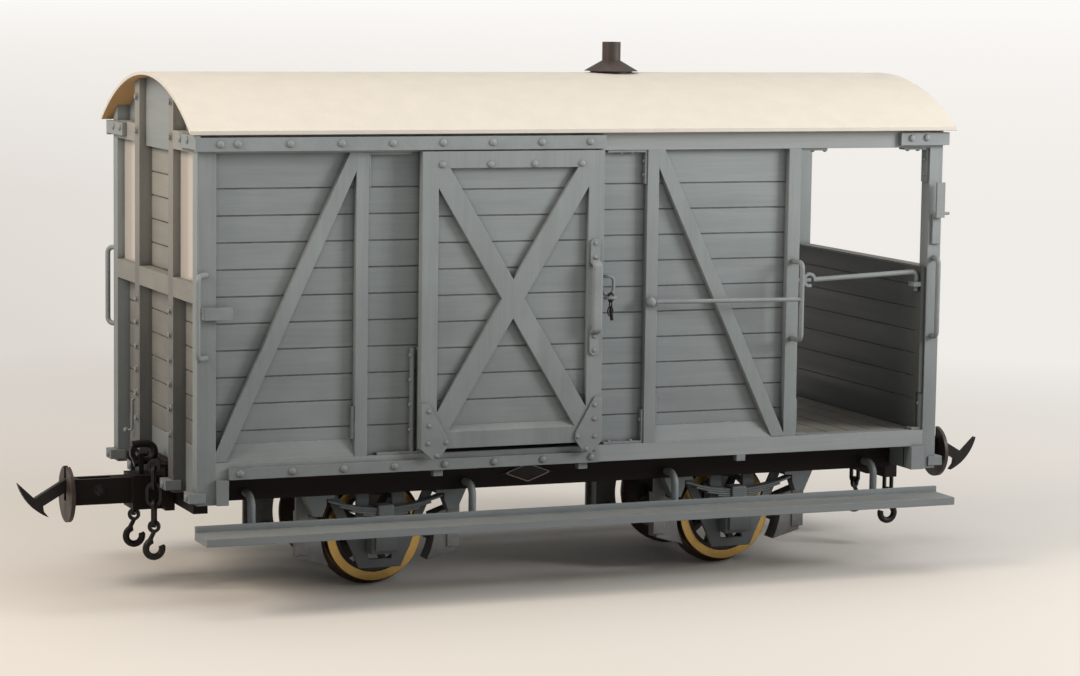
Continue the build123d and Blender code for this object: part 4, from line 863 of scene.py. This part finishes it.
def add_blocks(name, blocks, finish):
    """A piece of axis-aligned blocks, each given by its X, Y and Z ranges in millimetres."""
    points, faces = [], []
    for xs, ys, zs in blocks:
        start = len(points)
        points += [Vector((x, y, z)) * MM for x in sorted(xs) for y in sorted(ys) for z in sorted(zs)]
        faces += [[start + n for n in face] for face in BLOCK_FACES]
    mesh = bpy.data.meshes.new(name)
    mesh.from_pydata(points, [], faces)
    mesh.materials.append(finish)
    return place_piece(name, mesh)


END_BOARD_X, BEAM_BACK_X, LINING_X, INNER_Y, TAIL_Y, OUTER_Y = 96.8, 92.5, 94.9, 36.0, 35.5, 40.0
FOOT_Z, SILL_UNDERSIDE, FLOOR_TOP, BEAM_TOP, WAIST_TOP = 26.0, 32.0, 36.2, 38.4, 78.9
STEP_X, THRESHOLD = LINING_X + 0.3, 0.2
CLOSED_TAIL_X, OPEN_TAIL_X = 95.4, 96.25
INSIDE = (-INNER_Y, INNER_Y)
beams = [((-END_BOARD_X, -BEAM_BACK_X), INSIDE, (FOOT_Z, BEAM_TOP)),
         ((STEP_X, END_BOARD_X), INSIDE, (FOOT_Z, BEAM_TOP)),
         ((BEAM_BACK_X, STEP_X), INSIDE, (FOOT_Z, FLOOR_TOP - THRESHOLD))]
for sign in (-1, 1):
    for xs in ((-CLOSED_TAIL_X, -BEAM_BACK_X), (BEAM_BACK_X, OPEN_TAIL_X)):
        beams.append((xs, (sign * TAIL_Y, sign * OUTER_Y), (FOOT_Z, SILL_UNDERSIDE)))
stepped = add_blocks("stepped_headstocks", beams, paint_across)
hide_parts("headstocks")
add_blocks("threshold_board", [((BEAM_BACK_X - 0.05, LINING_X + 0.1), INSIDE,
                                (FLOOR_TOP - THRESHOLD, FLOOR_TOP))], floor_boards)
print("headstock blocks:", len(beams))

# %% [markdown]
# The lining's boards have narrow gaps with a thin backing behind them, so that no light comes through, and
# strips close it against the corner posts.

# %% Lining and angles
LINING_PITCH, LINING_GAP, LINING_DEPTH, RAIL_GAP, BACKING_INSET = 5.95, 0.22, 1.0, 0.1, 0.2
POST_BACK_X, POST_FOOT_TOP, FOOT_STRIP_Y, STRIP_Y = 96.3, 46.0, 36.7, 38.3
ANGLE_XS, ANGLE_YS, ANGLE_ZS = (-45.9, -45.3), (38.4, 36.7), (36.2, 62.2)
joints = [FLOOR_TOP] + [BEAM_TOP + LINING_PITCH * n for n in range(1, 7)] + [WAIST_TOP - RAIL_GAP]
boards = [((LINING_X, LINING_X + LINING_DEPTH), INSIDE, (low, high - LINING_GAP))
          for low, high in zip(joints, joints[1:])]
backing = (LINING_X + BACKING_INSET, LINING_X + LINING_DEPTH - RAIL_GAP)
boards.append((backing, INSIDE, (FLOOR_TOP, WAIST_TOP - BACKING_INSET)))
for sign in (-1, 1):
    for strip_y, low, high in ((FOOT_STRIP_Y, FLOOR_TOP, POST_FOOT_TOP),
                               (STRIP_Y, POST_FOOT_TOP, WAIST_TOP - RAIL_GAP)):
        boards.append(((LINING_X, POST_BACK_X), (sign * INNER_Y, sign * strip_y), (low, high)))
add_blocks("verandah_lining", boards, paint_lining_shade)

angles = [(ANGLE_XS, [sign * y for y in ANGLE_YS], ANGLE_ZS) for sign in (-1, 1)]
add_blocks("doorway_angles", angles, paint_iron)
print("lining boards:", len(joints) - 1)

# %% [markdown]
# Leaf springs. A spring is a stack of bars that get shorter downwards. Their rounded edges leave a fine
# groove between them, which a stack cut from one block does not show. So each bar is swept along its arc
# with its four edges taken off, and a buckle with eased edges holds the stack on the axlebox.

# %% Bars and buckles
SPRING_Y, SPRING_TOP_Z, SPRING_SPAN, SPRING_SAG = 26.4, 21.3, 15.2, 2.7
LEAF_COUNT, LEAF_STEP, LEAF_DEPTH, LEAF_WIDTH, LEAF_EDGE, LEAF_CUTS = 4, 3.1, 0.55, 3.2, 0.17, 16
BUCKLE_SIZE, BUCKLE_EDGE, BUCKLE_RISE = Vector((4.2, 4.2, 4.2)), 0.35, 0.7
SPRING_RADIUS = (SPRING_SPAN ** 2 + SPRING_SAG ** 2) / (2 * SPRING_SAG)


def add_leaf(shape, middle, index):
    """Sweep one bar of the stack along its arc, with its four edges taken off."""
    inner = SPRING_RADIUS + index * LEAF_DEPTH
    widest = math.asin((SPRING_SPAN - index * LEAF_STEP) / (inner + LEAF_DEPTH))
    half, flat = LEAF_WIDTH / 2, LEAF_WIDTH / 2 - LEAF_EDGE
    near, far = LEAF_EDGE, LEAF_DEPTH - LEAF_EDGE
    section = [(-half, near), (-flat, 0), (flat, 0), (half, near), (half, far), (flat, LEAF_DEPTH),
               (-flat, LEAF_DEPTH), (-half, far)]
    rings = []
    for cut in range(LEAF_CUTS + 1):
        turn = widest * (2 * cut / LEAF_CUTS - 1)
        corners = [Vector(((inner + out) * math.sin(turn), across,
                           SPRING_RADIUS - (inner + out) * math.cos(turn))) for across, out in section]
        rings.append([shape.verts.new((middle + corner) * MM) for corner in corners])
    for one, two in zip(rings, rings[1:]):
        for n in range(len(section)):
            after = (n + 1) % len(section)
            shape.faces.new((one[n], one[after], two[after], two[n]))
    shape.faces.new(rings[0])
    shape.faces.new(rings[-1])


def add_buckle(shape, middle):
    """A block round the stack's middle, with its edges eased."""
    centre = middle - Vector((0, 0, BUCKLE_SIZE.z / 2 - BUCKLE_RISE))
    stretch = Matrix.Translation(centre * MM) @ Matrix.Diagonal(BUCKLE_SIZE * MM).to_4x4()
    corners = bmesh.ops.create_cube(shape, size=1, matrix=stretch)["verts"]
    edges = list({edge for corner in corners for edge in corner.link_edges})
    bmesh.ops.bevel(shape, geom=edges, offset=BUCKLE_EDGE * MM, segments=2, affect="EDGES", profile=0.5)


print("spring arc radius in mm:", round(SPRING_RADIUS, 1))

# %% The four springs
shape = bmesh.new()
for middle_x in (-48.5, 48.5):
    for middle_y in (-SPRING_Y, SPRING_Y):
        middle = Vector((middle_x, middle_y, SPRING_TOP_Z))
        for index in range(LEAF_COUNT):
            add_leaf(shape, middle, index)
        add_buckle(shape, middle)
bmesh.ops.recalc_face_normals(shape, faces=shape.faces)
spring_mesh = bpy.data.meshes.new("spring_stacks")
shape.to_mesh(spring_mesh)
shape.free()
spring_mesh.materials.append(running_grey)
springs = place_piece("spring_stacks", spring_mesh)
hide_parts("leaf_springs")
print("spring faces:", len(spring_mesh.polygons))

# %% [markdown]
# The link that stands on each coupling is heavier than its solid, and it is open towards the buffer like a
# hook. A thick bent wire goes over it. The hooks at the ends of the side chains get the same.

# %% Coupling links and chain hooks
LINK_SHAPE = [(-2.9, 1.9), (-1.0, 2.1), (1.6, 2.1), (2.9, 0.9), (2.9, -0.9), (1.6, -2.1), (-0.6, -2.3),
              (-2.4, -2.9)]
LINK_IN, LINK_DOWN, LINK_WIRE = 3.4, 2.7, 0.95
HOOK_X, HOOK_Y, HOOK_BEND, HOOK_WIRE = 102.5, 9.5, 2.1, 0.85

shackle_low, shackle_high = (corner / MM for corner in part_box("shackles"))
link_x, link_z = shackle_low.x + LINK_IN, shackle_high.z - LINK_DOWN
hook_angles = [math.radians(degrees) for degrees in range(104, 375, 18)]
for end, sign in (("left", 1), ("right", -1)):
    path = [((link_x + dx) * sign, 0, link_z + dz) for dx, dz in LINK_SHAPE]
    add_wire(f"{end}_heavy_link", path, LINK_WIRE, *BLACKENED)
for end, sign, hook_z in (("left", 1, 10.89), ("right", -1, 9.19)):
    for side, hook_y in (("near", -HOOK_Y), ("far", HOOK_Y)):
        path = [((-HOOK_X + HOOK_BEND * math.cos(turn)) * sign, hook_y, hook_z + HOOK_BEND * math.sin(turn))
                for turn in hook_angles]
        add_wire(f"{end}_{side}_chain_hook", path, HOOK_WIRE, *BLACKENED)

# %% [markdown]
# Floor, light and background. The photograph's background is one pale sweep with no horizon. A wall would
# hide the van from behind, so the floor is simply very large, and away from the van it fades from a matt
# surface, which takes the shadow, to the plain backdrop colour. Little of the light that the floor would
# throw up reaches the underframe, as over dark ground.

# %% Stage
BACKDROP_LEFT = screen(222, 216, 210)
BACKDROP_RIGHT = screen(240, 236, 232)
BACKDROP_FAR = screen(252, 250, 247)
FLOOR_SEEN = screen(226, 222, 216)
FLOOR_THROWN_UP = screen(120, 114, 108)
FADE_BEGINS, FADE_ENDS = 0.16, 0.5
FLOOR_SIZE = 400.0


def backdrop_floor():
    """Matt near the van. Farther off it takes the backdrop's colour, which brightens with every doubling."""
    material, tree, shader = new_material("pale_floor")
    bounced = tree.node("ShaderNodeLightPath").outputs["Is Diffuse Ray"]
    tree.fill(shader, Base_Color=tree.mix(bounced, FLOOR_SEEN, FLOOR_THROWN_UP), Roughness=0.9,
              Specular_IOR_Level=0.2)
    place = tree.place()
    distance = tree.node("ShaderNodeVectorMath", {"operation": "LENGTH"}, _0=place).outputs["Value"]
    # Painted light on the backdrop: its glow is darker to the left and brighter with every doubling of
    # distance.
    far = tree.ramp(tree.maths("LOGARITHM", distance, 2.0), 0.5, 4.0)
    aside = tree.ramp(tree.maths("DIVIDE", tree.split(place)["X"], distance), 0.0, 0.5)
    colour = tree.mix(far, tree.mix(aside, BACKDROP_LEFT, BACKDROP_RIGHT), BACKDROP_FAR)
    seen = tree.node("ShaderNodeEmission", None, Color=colour)
    away = tree.ramp(distance, FADE_BEGINS, FADE_ENDS)
    surface = tree.node("ShaderNodeMixShader", None, _0=away, _1=shader, _2=seen)
    tree.fill(material.node_tree.nodes["Material Output"], Surface=surface)
    return material


half = FLOOR_SIZE / 2
corners = [(-half, -half, 0), (half, -half, 0), (half, half, 0), (-half, half, 0)]
floor_mesh = bpy.data.meshes.new("pale_floor")
floor_mesh.from_pydata(corners, [], [(0, 1, 2, 3)])
floor_mesh.materials.append(backdrop_floor())
floor = add_object("pale_floor", floor_mesh)
floor.location.z = cad_low.z
print("floor side in metres:", FLOOR_SIZE)

# %% [markdown]
# The world is a soft white dome. A large lamp from the right and front shows the frames and the planks, one
# above keeps the roof bright, and a smaller warm one lights the closed end.

# %% Lights
DOME_WHITE = (1.0, 0.985, 0.96, 1.0)
DOME_STRENGTH = 0.4
VAN_MIDDLE = Vector((0, 0, 0.07))


def soft_world(backdrop, strength):
    """A dome that lights the van softly, and that the camera sees as the backdrop."""
    world = bpy.data.worlds.new("soft_world")
    world.use_nodes = True
    scene.world = world
    tree = Tree(world.node_tree)
    light = tree.fill(world.node_tree.nodes["Background"], Color=DOME_WHITE, Strength=strength)
    seen = tree.node("ShaderNodeBackground", None, Color=backdrop)
    ray = tree.node("ShaderNodeLightPath").outputs
    either = tree.maths("MAXIMUM", ray["Is Camera Ray"], ray["Is Transmission Ray"])
    surface = tree.node("ShaderNodeMixShader", None, _0=either, _1=light, _2=seen)
    tree.fill(world.node_tree.nodes["World Output"], Surface=surface)


def soft_lamp(name, place, power, size, colour):
    """A square lamp that looks at the van's middle."""
    data = bpy.data.lights.new(name, "AREA")
    data.energy = power
    data.size = size
    data.color = colour
    lamp = add_object(name, data)
    lamp.location = place
    lamp.rotation_euler = (VAN_MIDDLE - Vector(place)).to_track_quat("-Z", "Y").to_euler()


soft_world(BACKDROP_FAR, DOME_STRENGTH)
soft_lamp("key_lamp", (0.45, -0.33, 0.26), power=2.12, size=0.2, colour=(1.0, 0.985, 0.965))
soft_lamp("top_lamp", (0.1, 0.2, 1.5), power=4.3, size=0.9, colour=(1.0, 0.99, 0.98))
soft_lamp("end_lamp", (-0.6, -0.1, 0.45), power=2.9, size=0.3, colour=(1.0, 0.86, 0.71))
print("lamps:", len(bpy.data.lights))
